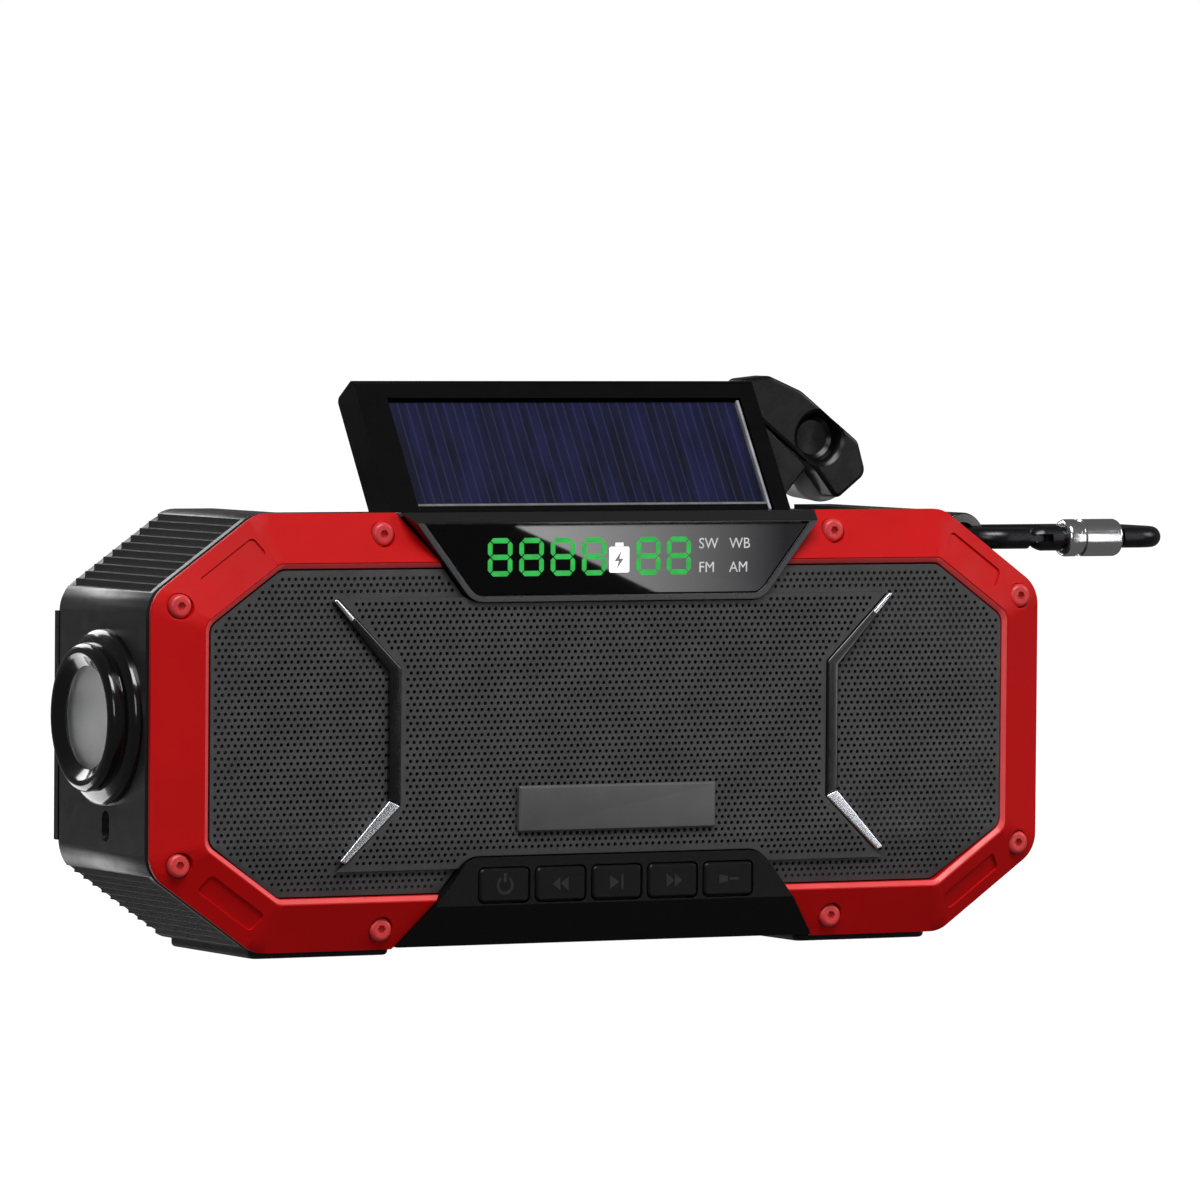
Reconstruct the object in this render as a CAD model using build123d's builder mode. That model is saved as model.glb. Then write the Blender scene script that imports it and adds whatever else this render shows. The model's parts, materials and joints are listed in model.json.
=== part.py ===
"""Emergency radio: an eight-sided case with ribbed corner bumpers, a two-piece red front frame round a speaker
grille, a display, five keys, a torch in one end, a tilting solar panel on top, a generator crank on the back
and a small screw-lock carabiner on a strap lug.

Millimetres. +X is to the right seen from the front, +Y runs to the back, +Z is up. The origin is on the plane
that the feet stand on, under the middle of the case.
"""

import math
import os

from build123d import *

os.makedirs("parts", exist_ok=True)

# ---------------------------------------------------------------- driving dimensions
half_width = 101.5  # of the red frame
frame_low = 1.4  # the feet stand this far below the frame
frame_high = 88.4
corner_run = 23.0  # each cut corner, along X
corner_drop = 16.3  # and along Z
corner_round = 7.0
middle_z = (frame_low + frame_high) / 2

seam_y = -21.5  # where the frame meets the case; every depth below is counted from here, to the back
case_inset = 1.2  # the black case is this much smaller than the frame, all round
wall = 2.4
baffle_back = 2.0
case_back = 42.4
rear_face = 45.0

bumper_x = 67.5  # bumpers cover what lies outside this half width
bumper_inset = 0.2
end_plate_z = 23.0  # half height of the rear cover's full-width part
bumper_front, bumper_back = 2.0, 41.6
rib_count = 10  # ribs are steps, with level treads and upright risers
rib_pitch = 2.46
rib_stop = 1.6  # smooth border left next to the frame
corner_slope = math.hypot(corner_run, corner_drop)
corner_mid_z = (frame_high - frame_low) / 2 - corner_drop / 2
pad_inset, pad_shift, pad_sunk = 5.0, 3.0, 0.45  # of the sunk pads on the frame's diagonals

foot_inner, foot_outer = 46.5, 77.5
rail_width = 10.9  # of the frame, seen from the front
rail_bevel = 1.2
crest = -5.2  # the frame's highest line
rail_edge = -0.8  # the frame's depth at its outer edge
panel_front = -6.2

gap = 0.3  # between fixed mouldings
sliver = 0.05

# ---------------------------------------------------------------- helpers


def deep(depth):
    """The Y of a depth behind the seam."""
    return seam_y + depth


def at_depth(depth):
    """A sketch plane facing the front: its x is X, its y is Z, and extrude() goes forward from it."""
    return Plane.XZ.offset(-deep(depth))


def from_side(x):
    """A sketch plane facing +X: its x is Y and its y is Z."""
    return Plane.YZ.offset(x)


def octagon_points(inset):
    """Corners of the case outline, moved in by inset on every side, anticlockwise from the lower right."""
    slope = math.hypot(corner_run, corner_drop)
    shrink = 1 - (1 - corner_run / slope) / (corner_drop / slope)
    run = corner_run - inset * shrink
    drop = run * corner_drop / corner_run
    wide = half_width - inset
    low, high = frame_low + inset, frame_high - inset
    right = [(wide - run, low), (wide, low + drop), (wide, high - drop), (wide - run, high)]
    left = [(-x, z) for x, z in reversed(right)]
    return right + left


def draw_octagon(inset, radius=corner_round, mode=Mode.ADD):
    """The case outline in the sketch that is open."""
    with BuildSketch(mode=Mode.PRIVATE) as outline:
        with BuildLine():
            Polyline(*octagon_points(inset), close=True)
        make_face()
        fillet(outline.vertices(), radius)
    add(outline.sketch, mode=mode)


def draw_polygon(points, radius=0, mode=Mode.ADD):
    """A closed outline through points, with its corners rounded if radius is given."""
    with BuildSketch(mode=Mode.PRIVATE) as outline:
        with BuildLine():
            Polyline(*points, close=True)
        make_face()
        if radius:
            fillet(outline.vertices(), radius)
    add(outline.sketch, mode=mode)


def save(part, name):
    """Labels a finished piece and writes it."""
    part.label = name
    export_step(part, f"parts/{name}.step")
    print(name, len(part.solids()), round(part.volume, 1))


# ---------------------------------------------------------------- display and keypad outlines
# Both are trapezoids that cross the frame, wide at the case's edge and narrow at the grille.
trim_wide = 47.4
trim_narrow = 33.2
trim_height = 17.8
trim_round = 5.0


def trapezoid(edge_z, inwards, grow=0.0, past=0.0):
    """Corners of a trapezoid whose wide side is at edge_z; inwards is +1 or -1, towards the case's middle.
    grow widens it all round and past runs its wide side on beyond the edge."""
    slope = (trim_wide - trim_narrow) / trim_height
    spread = grow * math.hypot(1, slope)
    near = edge_z - inwards * past
    far = edge_z + inwards * (trim_height + grow)
    near_half = trim_wide + spread + slope * past
    far_half = trim_narrow + spread - slope * grow
    return [(-near_half, near), (near_half, near), (far_half, far), (-far_half, far)]


def draw_trapezoid(edge_z, inwards, grow=0.0, past=0.0, radius=trim_round, mode=Mode.ADD):
    """The trapezoid in the sketch that is open, with its two inner corners rounded."""
    with BuildSketch(mode=Mode.PRIVATE) as outline:
        with BuildLine():
            Polyline(*trapezoid(edge_z, inwards, grow, past), close=True)
        make_face()
        inner = outline.vertices().sort_by(Axis.Y)
        fillet(inner[:2] if inwards < 0 else inner[2:], radius + grow)
    add(outline.sketch, mode=mode)


display_edge = frame_high
keypad_edge = frame_low + 0.4


def on_diagonal(side, updown, inset, along):
    """A point on a cut corner, inset from its edge and along from its middle towards the top or bottom."""
    x = half_width - corner_run / 2 - (inset * corner_drop + along * corner_run) / corner_slope
    z = corner_mid_z - (inset * corner_run - along * corner_drop) / corner_slope
    return side * x, middle_z + updown * z


def rib_steps(side, updown):
    """What is cut from a bumper to leave steps: a zigzag closed by a line well outside it."""
    noses = [on_diagonal(side, updown, bumper_inset, (step - rib_count / 2) * rib_pitch) for step in range(rib_count + 1)]
    points = [noses[0]]
    for low, high in zip(noses, noses[1:]):
        points += [(high[0], low[1]), high]
    ends = [on_diagonal(side, updown, -3, along * rib_pitch * rib_count / 2) for along in (1, -1)]
    return points + ends

# ---------------------------------------------------------------- solar panel placing
panel_half = 46.0
panel_thick = 8.0
panel_reach = 33.5  # from the hinge line to the free edge
hinge_depth = 7.4
hinge_z = frame_high - panel_thick / 2
panel_angle = 57.0  # how far it stands open
hinge_pin_r = 1.5

well_half = panel_half + 0.6
well_front = 3.0
well_back = 41.4
well_floor = frame_high - panel_thick - 0.8
well_wall = 1.8

# ---------------------------------------------------------------- torch, strap eye and ports
torch_depth = 20.5
torch_z = 47.6
torch_hole_r = 13.0
eye_depth = 20.0
eye_z = 26.0
port_depth = 21.0
port_z = 40.0
port_long = 27.0
port_tall = 12.0

port_board_x = 95.6
flap_x, flap_z = 99.3, 35.2  # the flap's hinge line
flap_pin_r, flap_pin_long = 0.6, 1.5
flap_thick = 1.8

# ---------------------------------------------------------------- strap lug placing
lug_x, lug_z = 93.5, 81.8
lug_depth, lug_wide = 20.0, 7.6

# ---------------------------------------------------------------- crank and gear train
hub_x, hub_z = 33.0, 65.4
gear_module = 0.8
crank_teeth, idler_pinion_teeth = 28, 10
idler_teeth, rotor_teeth = 36, 10
idler_z = hub_z - gear_module * (crank_teeth + idler_pinion_teeth) / 2
rotor_z = idler_z - gear_module * (idler_teeth + rotor_teeth) / 2
post_points = [(hub_x + dx, z) for dx in (-16.5, 16.5) for z in (20.0, 71.0)]
post_r = 3.0
plate_front, plate_back = 22.5, 24.5
shaft_r = 2.5
running = 0.05  # radial clearance of a shaft in its bearing

rear_screw_points = [(x, z) for x in (-94, 94) for z in (27, 63)] + [(x, z) for x in (-60, 60) for z in (7.4, 82.4)]
frame_screw_points = [(x, z) for x in (-96, 96) for z in (19.4, 70.4)] + [(x, z) for x in (-51.5, 51.5) for z in (5.6, 84.2)]

speaker_x, speaker_z = 68.5, middle_z
button_xs = [-25.6, -12.8, 0.0, 12.8, 25.6]
button_z = 14.0
button_travel = 0.8

# ---------------------------------------------------------------- main housing
with BuildPart() as main_housing:
    with BuildSketch(at_depth(case_back)):
        draw_octagon(case_inset)
    extrude(amount=case_back - baffle_back)
    # a raised bumper round each end, cut into steps on its diagonals
    with BuildSketch(at_depth(bumper_back)):
        draw_octagon(bumper_inset)
        Rectangle(2 * bumper_x, 300, mode=Mode.SUBTRACT)
        with Locations((0, frame_low)):
            Rectangle(2 * foot_outer + 1, 8, mode=Mode.SUBTRACT)
    extrude(amount=bumper_back - bumper_front)
    with BuildSketch(at_depth(bumper_back)):
        for side in (-1, 1):
            for updown in (-1, 1):
                draw_polygon(rib_steps(side, updown))
    extrude(amount=bumper_back - bumper_front - rib_stop, mode=Mode.SUBTRACT)
    # a flat left between the ribs for the strap lug
    with BuildSketch(at_depth(lug_depth + lug_wide / 2 + gap)):
        with Locations((lug_x, lug_z)):
            Rectangle(20, 24)
        draw_octagon(case_inset, mode=Mode.SUBTRACT)
    extrude(amount=lug_wide + 2 * gap, mode=Mode.SUBTRACT)
    with BuildSketch(at_depth(case_back)):
        draw_octagon(case_inset + wall, corner_round - wall)
    extrude(amount=case_back - baffle_back, mode=Mode.SUBTRACT)
    # bosses that the rear screws enter
    with BuildSketch(at_depth(case_back)):
        with Locations(*rear_screw_points):
            Circle(4.2)
        draw_octagon(case_inset + 0.1, mode=Mode.INTERSECT)
    extrude(amount=12)
    # the well that the solar panel folds into
    with BuildSketch(Plane.XY.offset(well_floor - well_wall)):
        with Locations((0, deep((baffle_back + case_back) / 2))):
            Rectangle(2 * (well_half + well_wall), case_back - baffle_back)
    extrude(amount=frame_high - case_inset - well_floor + well_wall)
    with BuildSketch(Plane.XY.offset(well_floor)):
        with Locations((0, deep((well_front + well_back) / 2))):
            Rectangle(2 * well_half, well_back - well_front)
    extrude(amount=20, mode=Mode.SUBTRACT)
    # hinge pin holes
    with BuildSketch(from_side(-well_half - well_wall)):
        with Locations((deep(hinge_depth), hinge_z)):
            Circle(hinge_pin_r + running)
    extrude(amount=2 * (well_half + well_wall), mode=Mode.SUBTRACT)
    # torch hole
    with BuildSketch(from_side(-half_width - 1)):
        with Locations((deep(torch_depth), torch_z)):
            Circle(torch_hole_r)
    extrude(amount=8, mode=Mode.SUBTRACT)
    # strap eye: a thick pad inside the end wall, a slot cut in it, and a bar left across the slot
    with BuildSketch(from_side(-half_width + case_inset)):
        with Locations((deep(eye_depth), eye_z)):
            Rectangle(8, 10)
    extrude(amount=5)
    with BuildSketch(from_side(-half_width - 1)):
        with Locations((deep(eye_depth), eye_z)):
            SlotOverall(6.2, 3.4, rotation=90)
    extrude(amount=1 + case_inset + 3.4, mode=Mode.SUBTRACT)
    with BuildSketch(from_side(-half_width + case_inset + 0.4)):
        with Locations((deep(eye_depth), eye_z)):
            Rectangle(3.8, 1.3)
    extrude(amount=1.5)
    # port window
    with BuildSketch(from_side(half_width + 1)):
        with Locations((deep(port_depth), port_z)):
            Rectangle(port_long, port_tall)
    extrude(amount=-8, mode=Mode.SUBTRACT)
    with BuildSketch(at_depth(port_depth + port_long / 2 + flap_pin_long)):
        with Locations((flap_x, flap_z)):
            Circle(flap_pin_r + running)
    extrude(amount=port_long + 2 * flap_pin_long, mode=Mode.SUBTRACT)
    for depth in (port_depth - 15.6, port_depth + 15.6):
        with BuildSketch(from_side(port_board_x)):
            with Locations((deep(depth), port_z)):
                Rectangle(2.6, 9)
        extrude(amount=half_width - case_inset - wall - port_board_x)
    # blind pilot holes for the rear screws
    with BuildSketch(at_depth(case_back)):
        with Locations(*rear_screw_points):
            Circle(1.25)
    extrude(amount=9, mode=Mode.SUBTRACT)
save(main_housing.part, "main_housing")

# ---------------------------------------------------------------- front baffle
plateau_inset = rail_width + gap
plateau_front = -3.2
plateau_skin = 2.0
with BuildPart() as front_baffle:
    with BuildSketch(at_depth(baffle_back)):
        draw_octagon(case_inset)
    extrude(amount=baffle_back)
    with BuildSketch(at_depth(0)):
        draw_octagon(plateau_inset, 3)
    extrude(amount=-plateau_front)
    with BuildSketch(at_depth(baffle_back)):
        draw_octagon(plateau_inset + 1.5, 2)
    extrude(amount=baffle_back - plateau_front - plateau_skin, mode=Mode.SUBTRACT)
    # window behind the display, window behind the keys, and the two speaker openings
    with BuildSketch(at_depth(baffle_back)):
        with Locations((0, 79.6)):
            Rectangle(66, 12.4)
        with Locations((0, button_z)):
            Rectangle(66, 10.4)
        with Locations((-speaker_x, speaker_z), (speaker_x, speaker_z)):
            Circle(17.0)
        with Locations(*frame_screw_points):
            Circle(1.35)
    extrude(amount=10, mode=Mode.SUBTRACT)
    # posts that carry the main board
    with BuildSketch(at_depth(4.4)):
        with Locations((-42, 26), (42, 26), (-42, 66), (42, 66)):
            Circle(2.6)
    extrude(amount=4.4 - plateau_front - plateau_skin)
    with BuildSketch(at_depth(5.2)):
        with Locations((-36.5, 9.6), (36.5, 9.6)):
            Circle(2)
    extrude(amount=5.2 - baffle_back)
save(front_baffle.part, "front_baffle")

# ---------------------------------------------------------------- rear cover
bush_outer_r = 4.5
boss_front = 36.6
with BuildPart() as rear_cover:
    with BuildSketch(at_depth(rear_face)):
        with Locations((0, middle_z)):
            Rectangle(300, 2 * end_plate_z)
        draw_octagon(bumper_inset, mode=Mode.INTERSECT)
        draw_octagon(case_inset)
    extrude(amount=rear_face - case_back)
    chamfer(rear_cover.faces().sort_by(Axis.Y)[-1].edges(), 0.8)
    # locating rim inside the housing
    with BuildSketch(at_depth(case_back)):
        draw_octagon(case_inset + wall + 0.2, corner_round - wall)
        draw_octagon(case_inset + wall + 1.8, corner_round - wall - 1.6, mode=Mode.SUBTRACT)
        with Locations((0, well_floor + 6)):
            Rectangle(2 * (well_half + well_wall + 0.3), 18, mode=Mode.SUBTRACT)
        with Locations(*rear_screw_points):
            Circle(4.6, mode=Mode.SUBTRACT)
    extrude(amount=2.5)
    # boss for the crank's bush, posts for the gearbox plate, and rests behind the ferrite rod
    with BuildSketch(at_depth(case_back)):
        with Locations((hub_x, hub_z)):
            Circle(8)
    extrude(amount=case_back - boss_front)
    with BuildSketch(at_depth(case_back)):
        with Locations(*post_points):
            Circle(post_r)
    extrude(amount=case_back - plate_back)
    with BuildSketch(at_depth(case_back)):
        with Locations((hub_x, idler_z)):
            Circle(3.2)
        with Locations((-45, 68), (-3, 68)):
            Rectangle(5, 5)
    extrude(amount=case_back - 37)
    # a shallow dish round the crank
    with BuildSketch(at_depth(rear_face)):
        with Locations((hub_x, hub_z)):
            Circle(14)
    extrude(amount=0.8, mode=Mode.SUBTRACT)
    with BuildSketch(at_depth(rear_face)):
        with Locations((hub_x, hub_z)):
            Circle(bush_outer_r)
    extrude(amount=12, mode=Mode.SUBTRACT)
    # idler axle hole, gearbox screw holes, case screw holes
    with BuildSketch(at_depth(case_back)):
        with Locations((hub_x, idler_z)):
            Circle(1.5)
    extrude(amount=8, mode=Mode.SUBTRACT)
    with BuildSketch(at_depth(plate_back + 9)):
        with Locations(*post_points):
            Circle(1.0)
    extrude(amount=9, mode=Mode.SUBTRACT)
    with Locations(*[Location((x, deep(rear_face), z), (-90, 0, 0)) for x, z in rear_screw_points]):
        CounterBoreHole(radius=1.6, counter_bore_radius=2.9, counter_bore_depth=1.4, depth=4)
save(rear_cover.part, "rear_cover")

# ---------------------------------------------------------------- red front frame
with BuildPart() as front_frame:
    with BuildSketch(at_depth(0)):
        draw_octagon(0)
    extrude(amount=-rail_edge)
    with BuildSketch(at_depth(rail_edge)):
        draw_octagon(0)
    with BuildSketch(at_depth(crest)):
        draw_octagon(rail_width - rail_bevel, 3)
    loft()
    with BuildSketch(at_depth(0)):
        draw_octagon(rail_width, 3)
    extrude(amount=10, mode=Mode.SUBTRACT)
    # bevel down to the grille
    with BuildSketch(at_depth(crest)):
        draw_octagon(rail_width - rail_bevel, 3)
    with BuildSketch(at_depth(crest + 0.8)):
        draw_octagon(rail_width, 3)
    loft(mode=Mode.SUBTRACT)
    # a shallow pad sunk along each diagonal, level with the sloping face
    rise = math.atan2(rail_edge - crest, rail_width - rail_bevel)
    pad_floor = rail_edge - (rail_edge - crest) * pad_inset / (rail_width - rail_bevel) + pad_sunk
    for side in (-1, 1):
        for updown in (-1, 1):
            x, z = on_diagonal(side, updown, pad_inset, pad_shift)
            along = (-side * corner_run, 0, updown * corner_drop)
            out_x, out_z = side * corner_drop / corner_slope, updown * corner_run / corner_slope
            facing = (out_x * math.sin(rise), -math.cos(rise), out_z * math.sin(rise))
            with BuildSketch(Plane((x, deep(pad_floor), z), x_dir=along, z_dir=facing)):
                RectangleRounded(14.4, 4.5, 1)
            extrude(amount=3, mode=Mode.SUBTRACT)
    # screw seats and holes
    with BuildSketch(at_depth(-1.6)):
        with Locations(*frame_screw_points):
            Circle(2.6)
    extrude(amount=6, mode=Mode.SUBTRACT)
    with BuildSketch(at_depth(0)):
        with Locations(*frame_screw_points):
            Circle(1.1)
        draw_trapezoid(display_edge, -1, grow=gap, past=5, mode=Mode.ADD)
        draw_trapezoid(keypad_edge, 1, grow=gap, past=5, mode=Mode.ADD)
    extrude(amount=10, mode=Mode.SUBTRACT)
halves = front_frame.part.solids().sort_by(Axis.X)
for solid, name in zip((halves[0], halves[-1]), ("frame_left", "frame_right")):
    with BuildPart() as half:
        add(solid)
    save(half.part, name)

# ---------------------------------------------------------------- frame screws
screw_head_depth = -1.6
with BuildPart() as frame_screws:
    with Locations(*[Location((x, deep(screw_head_depth), z), (90, 0, 0)) for x, z in frame_screw_points]):
        Cylinder(2.4, 1.7, align=(Align.CENTER, Align.CENTER, Align.MIN))
        Cylinder(1.0, 1.6 + 1.8, align=(Align.CENTER, Align.CENTER, Align.MAX))
    domes = frame_screws.faces().filter_by(Axis.Y).sort_by(Axis.Y)[:8]
    fillet([edge for face in domes for edge in face.edges()], 0.9)
    with BuildSketch(at_depth(screw_head_depth - 0.7)):
        with Locations(*frame_screw_points):
            RegularPolygon(0.9, 6)
    extrude(amount=2, mode=Mode.SUBTRACT)
save(frame_screws.part, "frame_screws")

# ---------------------------------------------------------------- grille, chevrons and nameplate
grille_front = -4.6
grille_proud = -5.4
chevron_inner = [(62.6, 71.6), (48.6, 57.8), (48.6, 30.2), (60.6, 18.9)]
chevron_outer = [(64.0, 71.0), (51.4, 56.8), (51.4, 31.4), (62.3, 19.4)]
hole_pitch = 3.0


def mirrored(points, side):
    """Points on the right, or their mirror image if side is -1."""
    return [(side * x, z) for x, z in points]


with BuildPart() as speaker_grille:
    with BuildSketch(at_depth(plateau_front)):
        draw_octagon(plateau_inset, 3)
        draw_trapezoid(display_edge, -1, grow=gap, past=5, mode=Mode.SUBTRACT)
        draw_trapezoid(keypad_edge, 1, grow=gap, past=5, mode=Mode.SUBTRACT)
    extrude(amount=plateau_front - grille_front)
    with BuildSketch(at_depth(grille_front)):
        draw_polygon([(-62.4, 17.4), (62.4, 17.4)] + mirrored(chevron_inner[::-1], 1)[1:] +
                     mirrored(chevron_inner, -1)[:3])
        draw_trapezoid(display_edge, -1, grow=gap, past=5, mode=Mode.SUBTRACT)
        draw_trapezoid(keypad_edge, 1, grow=gap, past=5, mode=Mode.SUBTRACT)
    extrude(amount=grille_front - grille_proud)
    with BuildSketch(at_depth(plateau_front)):
        for side in (-1, 1):
            with Locations((side * (speaker_x + 1.6), speaker_z)):
                with HexLocations(hole_pitch / 2, 9, 9):
                    Circle(0.8)
    extrude(amount=5, mode=Mode.SUBTRACT)
save(speaker_grille.part, "speaker_grille")

for side, name in ((-1, "chevron_left"), (1, "chevron_right")):
    with BuildPart() as chevron:
        with BuildSketch(at_depth(grille_front)):
            draw_polygon(mirrored(chevron_inner, side) + mirrored(chevron_outer[::-1], side))
            with BuildSketch(mode=Mode.PRIVATE) as raised:
                draw_polygon([(-62.4, 17.4), (62.4, 17.4)] + mirrored(chevron_inner[::-1], 1)[1:] +
                             mirrored(chevron_inner, -1)[:3])
            add(raised.sketch, mode=Mode.SUBTRACT)
        extrude(amount=grille_front + 6.0)
    save(chevron.part, name)

with BuildPart() as nameplate:
    with BuildSketch(at_depth(grille_proud)):
        with Locations((0, 29.1)):
            RectangleRounded(45, 9.3, 0.5)
    extrude(amount=1.3)
    chamfer(nameplate.faces().sort_by(Axis.Y)[0].edges(), 0.4)
save(nameplate.part, "nameplate")

# ---------------------------------------------------------------- display
display_low = display_edge - 16.4
glass_z = 79.6
with BuildPart() as display_bezel:
    with BuildSketch(at_depth(0)):
        draw_trapezoid(display_edge, -1)
    extrude(amount=-panel_front)
    with BuildSketch(at_depth(0)):
        draw_octagon(plateau_inset - gap, 3)
    extrude(amount=-plateau_front, mode=Mode.SUBTRACT)
    with BuildSketch(at_depth(0)):
        with Locations((0, glass_z)):
            Rectangle(66, 12.4)
    extrude(amount=10, mode=Mode.SUBTRACT)
    with BuildSketch(at_depth(-4.6)):
        draw_trapezoid(display_edge, -1, grow=-1.3)
        with Locations((0, display_edge)):
            Rectangle(120, 4.4, mode=Mode.SUBTRACT)
    extrude(amount=4, mode=Mode.SUBTRACT)
    # its top edge slopes back with the frame
    with BuildSketch(from_side(-60)):
        draw_polygon([(deep(panel_front), display_edge - 1.9), (deep(-2.2), display_edge), (deep(-2.2), display_edge + 5),
                      (deep(-12), display_edge + 5), (deep(-12), display_edge - 1.9)])
    extrude(amount=120, mode=Mode.SUBTRACT)
save(display_bezel.part, "display_bezel")

with BuildPart() as display_lens:
    with BuildSketch(at_depth(-4.6)):
        draw_trapezoid(display_edge, -1, grow=-1.4)
        with Locations((0, display_edge)):
            Rectangle(120, 4.6, mode=Mode.SUBTRACT)
    extrude(amount=1.4)
save(display_lens.part, "display_lens")

with BuildPart() as display_module:
    with BuildSketch(at_depth(-2.0)):
        with Locations((0, glass_z)):
            Rectangle(64, 11.6)
    extrude(amount=2.5)
    with BuildSketch(at_depth(-0.8)):
        with Locations((0, glass_z)):
            Rectangle(65.6, 11.8)
    extrude(amount=1.2)
save(display_module.part, "display_module")

# ---------------------------------------------------------------- keypad
key_width, key_height = 11.2, 6.8
keypad_slope_z = 10.0
with BuildPart() as keypad_panel:
    with BuildSketch(at_depth(0)):
        draw_trapezoid(keypad_edge, 1)
    extrude(amount=-panel_front)
    with BuildSketch(at_depth(0)):
        draw_octagon(plateau_inset - gap, 3)
    extrude(amount=-plateau_front, mode=Mode.SUBTRACT)
    with BuildSketch(at_depth(0)):
        with Locations((0, button_z)):
            Rectangle(64, 9)
    extrude(amount=4.6, mode=Mode.SUBTRACT)
    with BuildSketch(at_depth(0)):
        with Locations(*[(x, button_z) for x in button_xs]):
            RectangleRounded(key_width + 2 * gap, key_height + 2 * gap, 1.3)
    extrude(amount=8, mode=Mode.SUBTRACT)
    # below the keys it slopes back with the frame
    with BuildSketch(from_side(-60)):
        draw_polygon([(deep(panel_front), keypad_slope_z), (deep(-2.2), keypad_edge), (deep(-2.2), keypad_edge - 5),
                      (deep(-12), keypad_edge - 5), (deep(-12), keypad_slope_z)])
    extrude(amount=120, mode=Mode.SUBTRACT)
save(keypad_panel.part, "keypad_panel")

key_names = ["key_power", "key_previous", "key_play", "key_next", "key_light"]
for x, name in zip(button_xs, key_names):
    with BuildPart() as key:
        with BuildSketch(at_depth(-3.5)):
            with Locations((x, button_z)):
                RectangleRounded(key_width, key_height, 1)
        extrude(amount=3.0)
        chamfer(key.faces().sort_by(Axis.Y)[0].edges(), 0.4)
        with BuildSketch(at_depth(-3.5)):
            with Locations((x, button_z)):
                Rectangle(12.0, 8.2)
        extrude(amount=0.8)
        with BuildSketch(at_depth(0.4)):
            with Locations((x, button_z)):
                Circle(1.8)
        extrude(amount=3.9)
    save(key.part, name)

board_depth = 6.4
with BuildPart() as keypad_board:
    with BuildSketch(at_depth(board_depth)):
        with Locations((0, button_z)):
            Rectangle(78, 13)
    extrude(amount=1.2)
save(keypad_board.part, "keypad_board")

with BuildPart() as key_switches:
    with BuildSketch(at_depth(board_depth - 1.2)):
        with Locations(*[(x, button_z) for x in button_xs]):
            Rectangle(6, 6)
    extrude(amount=3.1)
    with BuildSketch(at_depth(board_depth - 4.3)):
        with Locations(*[(x, button_z) for x in button_xs]):
            Circle(1.5)
    extrude(amount=0.5)
save(key_switches.part, "key_switches")

# ---------------------------------------------------------------- sound and electronics
with BuildPart() as main_board:
    with BuildSketch(at_depth(6.0)):
        with Locations((0, 47.5)):
            Rectangle(92, 50)
    extrude(amount=1.6)
    for x, z, wide, tall, thick in ((-20, 50, 12, 12, 1.6), (8, 54, 9, 7, 1.6), (-4, 34, 8, 8, 3), (24, 62, 6, 6, 4)):
        with BuildSketch(at_depth(6.0)):
            with Locations((x, z)):
                Rectangle(wide, tall)
        extrude(amount=-min(thick, 1.8))
save(main_board.part, "main_board")

for side, letter in ((-1, "left"), (1, "right")):
    with BuildPart() as speaker:
        with BuildSketch(at_depth(2.0)):
            with Locations((side * speaker_x, speaker_z)):
                Circle(19.4)
                Circle(16.0, mode=Mode.SUBTRACT)
        extrude(amount=2.0 - plateau_front - plateau_skin)
        with BuildSketch(at_depth(8.0)):
            with Locations((side * speaker_x, speaker_z)):
                Circle(11)
        with BuildSketch(at_depth(2.0)):
            with Locations((side * speaker_x, speaker_z)):
                Circle(19.4)
        loft()
        with BuildSketch(at_depth(6.8)):
            with Locations((side * speaker_x, speaker_z)):
                Circle(9.5)
        with BuildSketch(at_depth(1.0)):
            with Locations((side * speaker_x, speaker_z)):
                Circle(17.8)
        loft(mode=Mode.SUBTRACT)
        with BuildSketch(at_depth(13.0)):
            with Locations((side * speaker_x, speaker_z)):
                Circle(11)
        extrude(amount=5.0)
    save(speaker.part, f"speaker_{letter}")
    with BuildPart() as cone:
        with BuildSketch(at_depth(5.8)):
            with Locations((side * speaker_x, speaker_z)):
                Circle(5)
        with BuildSketch(at_depth(0.4)):
            with Locations((side * speaker_x, speaker_z)):
                Circle(14.6)
        loft()
        with BuildSketch(at_depth(0.4)):
            with Locations((side * speaker_x, speaker_z)):
                Circle(15.9)
        extrude(amount=0.7)
        with BuildSketch(at_depth(5.1)):
            with Locations((side * speaker_x, speaker_z)):
                Circle(4.2)
        with BuildSketch(at_depth(-0.3)):
            with Locations((side * speaker_x, speaker_z)):
                Circle(13.8)
        loft(mode=Mode.SUBTRACT)
        with BuildSketch(at_depth(6.8)):
            with Locations((side * speaker_x, speaker_z)):
                Circle(4)
        extrude(amount=1.4)
    save(cone.part, f"cone_{letter}")

rod_r = 4.0
with BuildPart() as ferrite_rod:
    with BuildSketch(from_side(-54)):
        with Locations((deep(37 - rod_r), 68)):
            Circle(rod_r)
    extrude(amount=60)
save(ferrite_rod.part, "ferrite_rod")

cell_r, cell_long = 9.2, 65.0
cell_zs = (22.5, 43.0)
cell_x = -80.0
cell_depth = 40.4 - cell_r
with BuildPart() as battery_cells:
    with BuildSketch(from_side(cell_x)):
        with Locations(*[(deep(cell_depth), z) for z in cell_zs]):
            Circle(cell_r)
    extrude(amount=cell_long)
save(battery_cells.part, "battery_cells")

with BuildPart() as battery_holder:
    with BuildSketch(at_depth(case_back)):
        with Locations((cell_x + cell_long / 2, (cell_zs[0] + cell_zs[1]) / 2)):
            Rectangle(cell_long + 5, 42)
    extrude(amount=18)
    with BuildSketch(at_depth(40.4)):
        with Locations((cell_x + cell_long / 2, (cell_zs[0] + cell_zs[1]) / 2)):
            Rectangle(cell_long, 39)
    extrude(amount=20, mode=Mode.SUBTRACT)
save(battery_holder.part, "battery_holder")

# ---------------------------------------------------------------- torch
face_x = -half_width + bumper_inset  # the end face that it stands on


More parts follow.
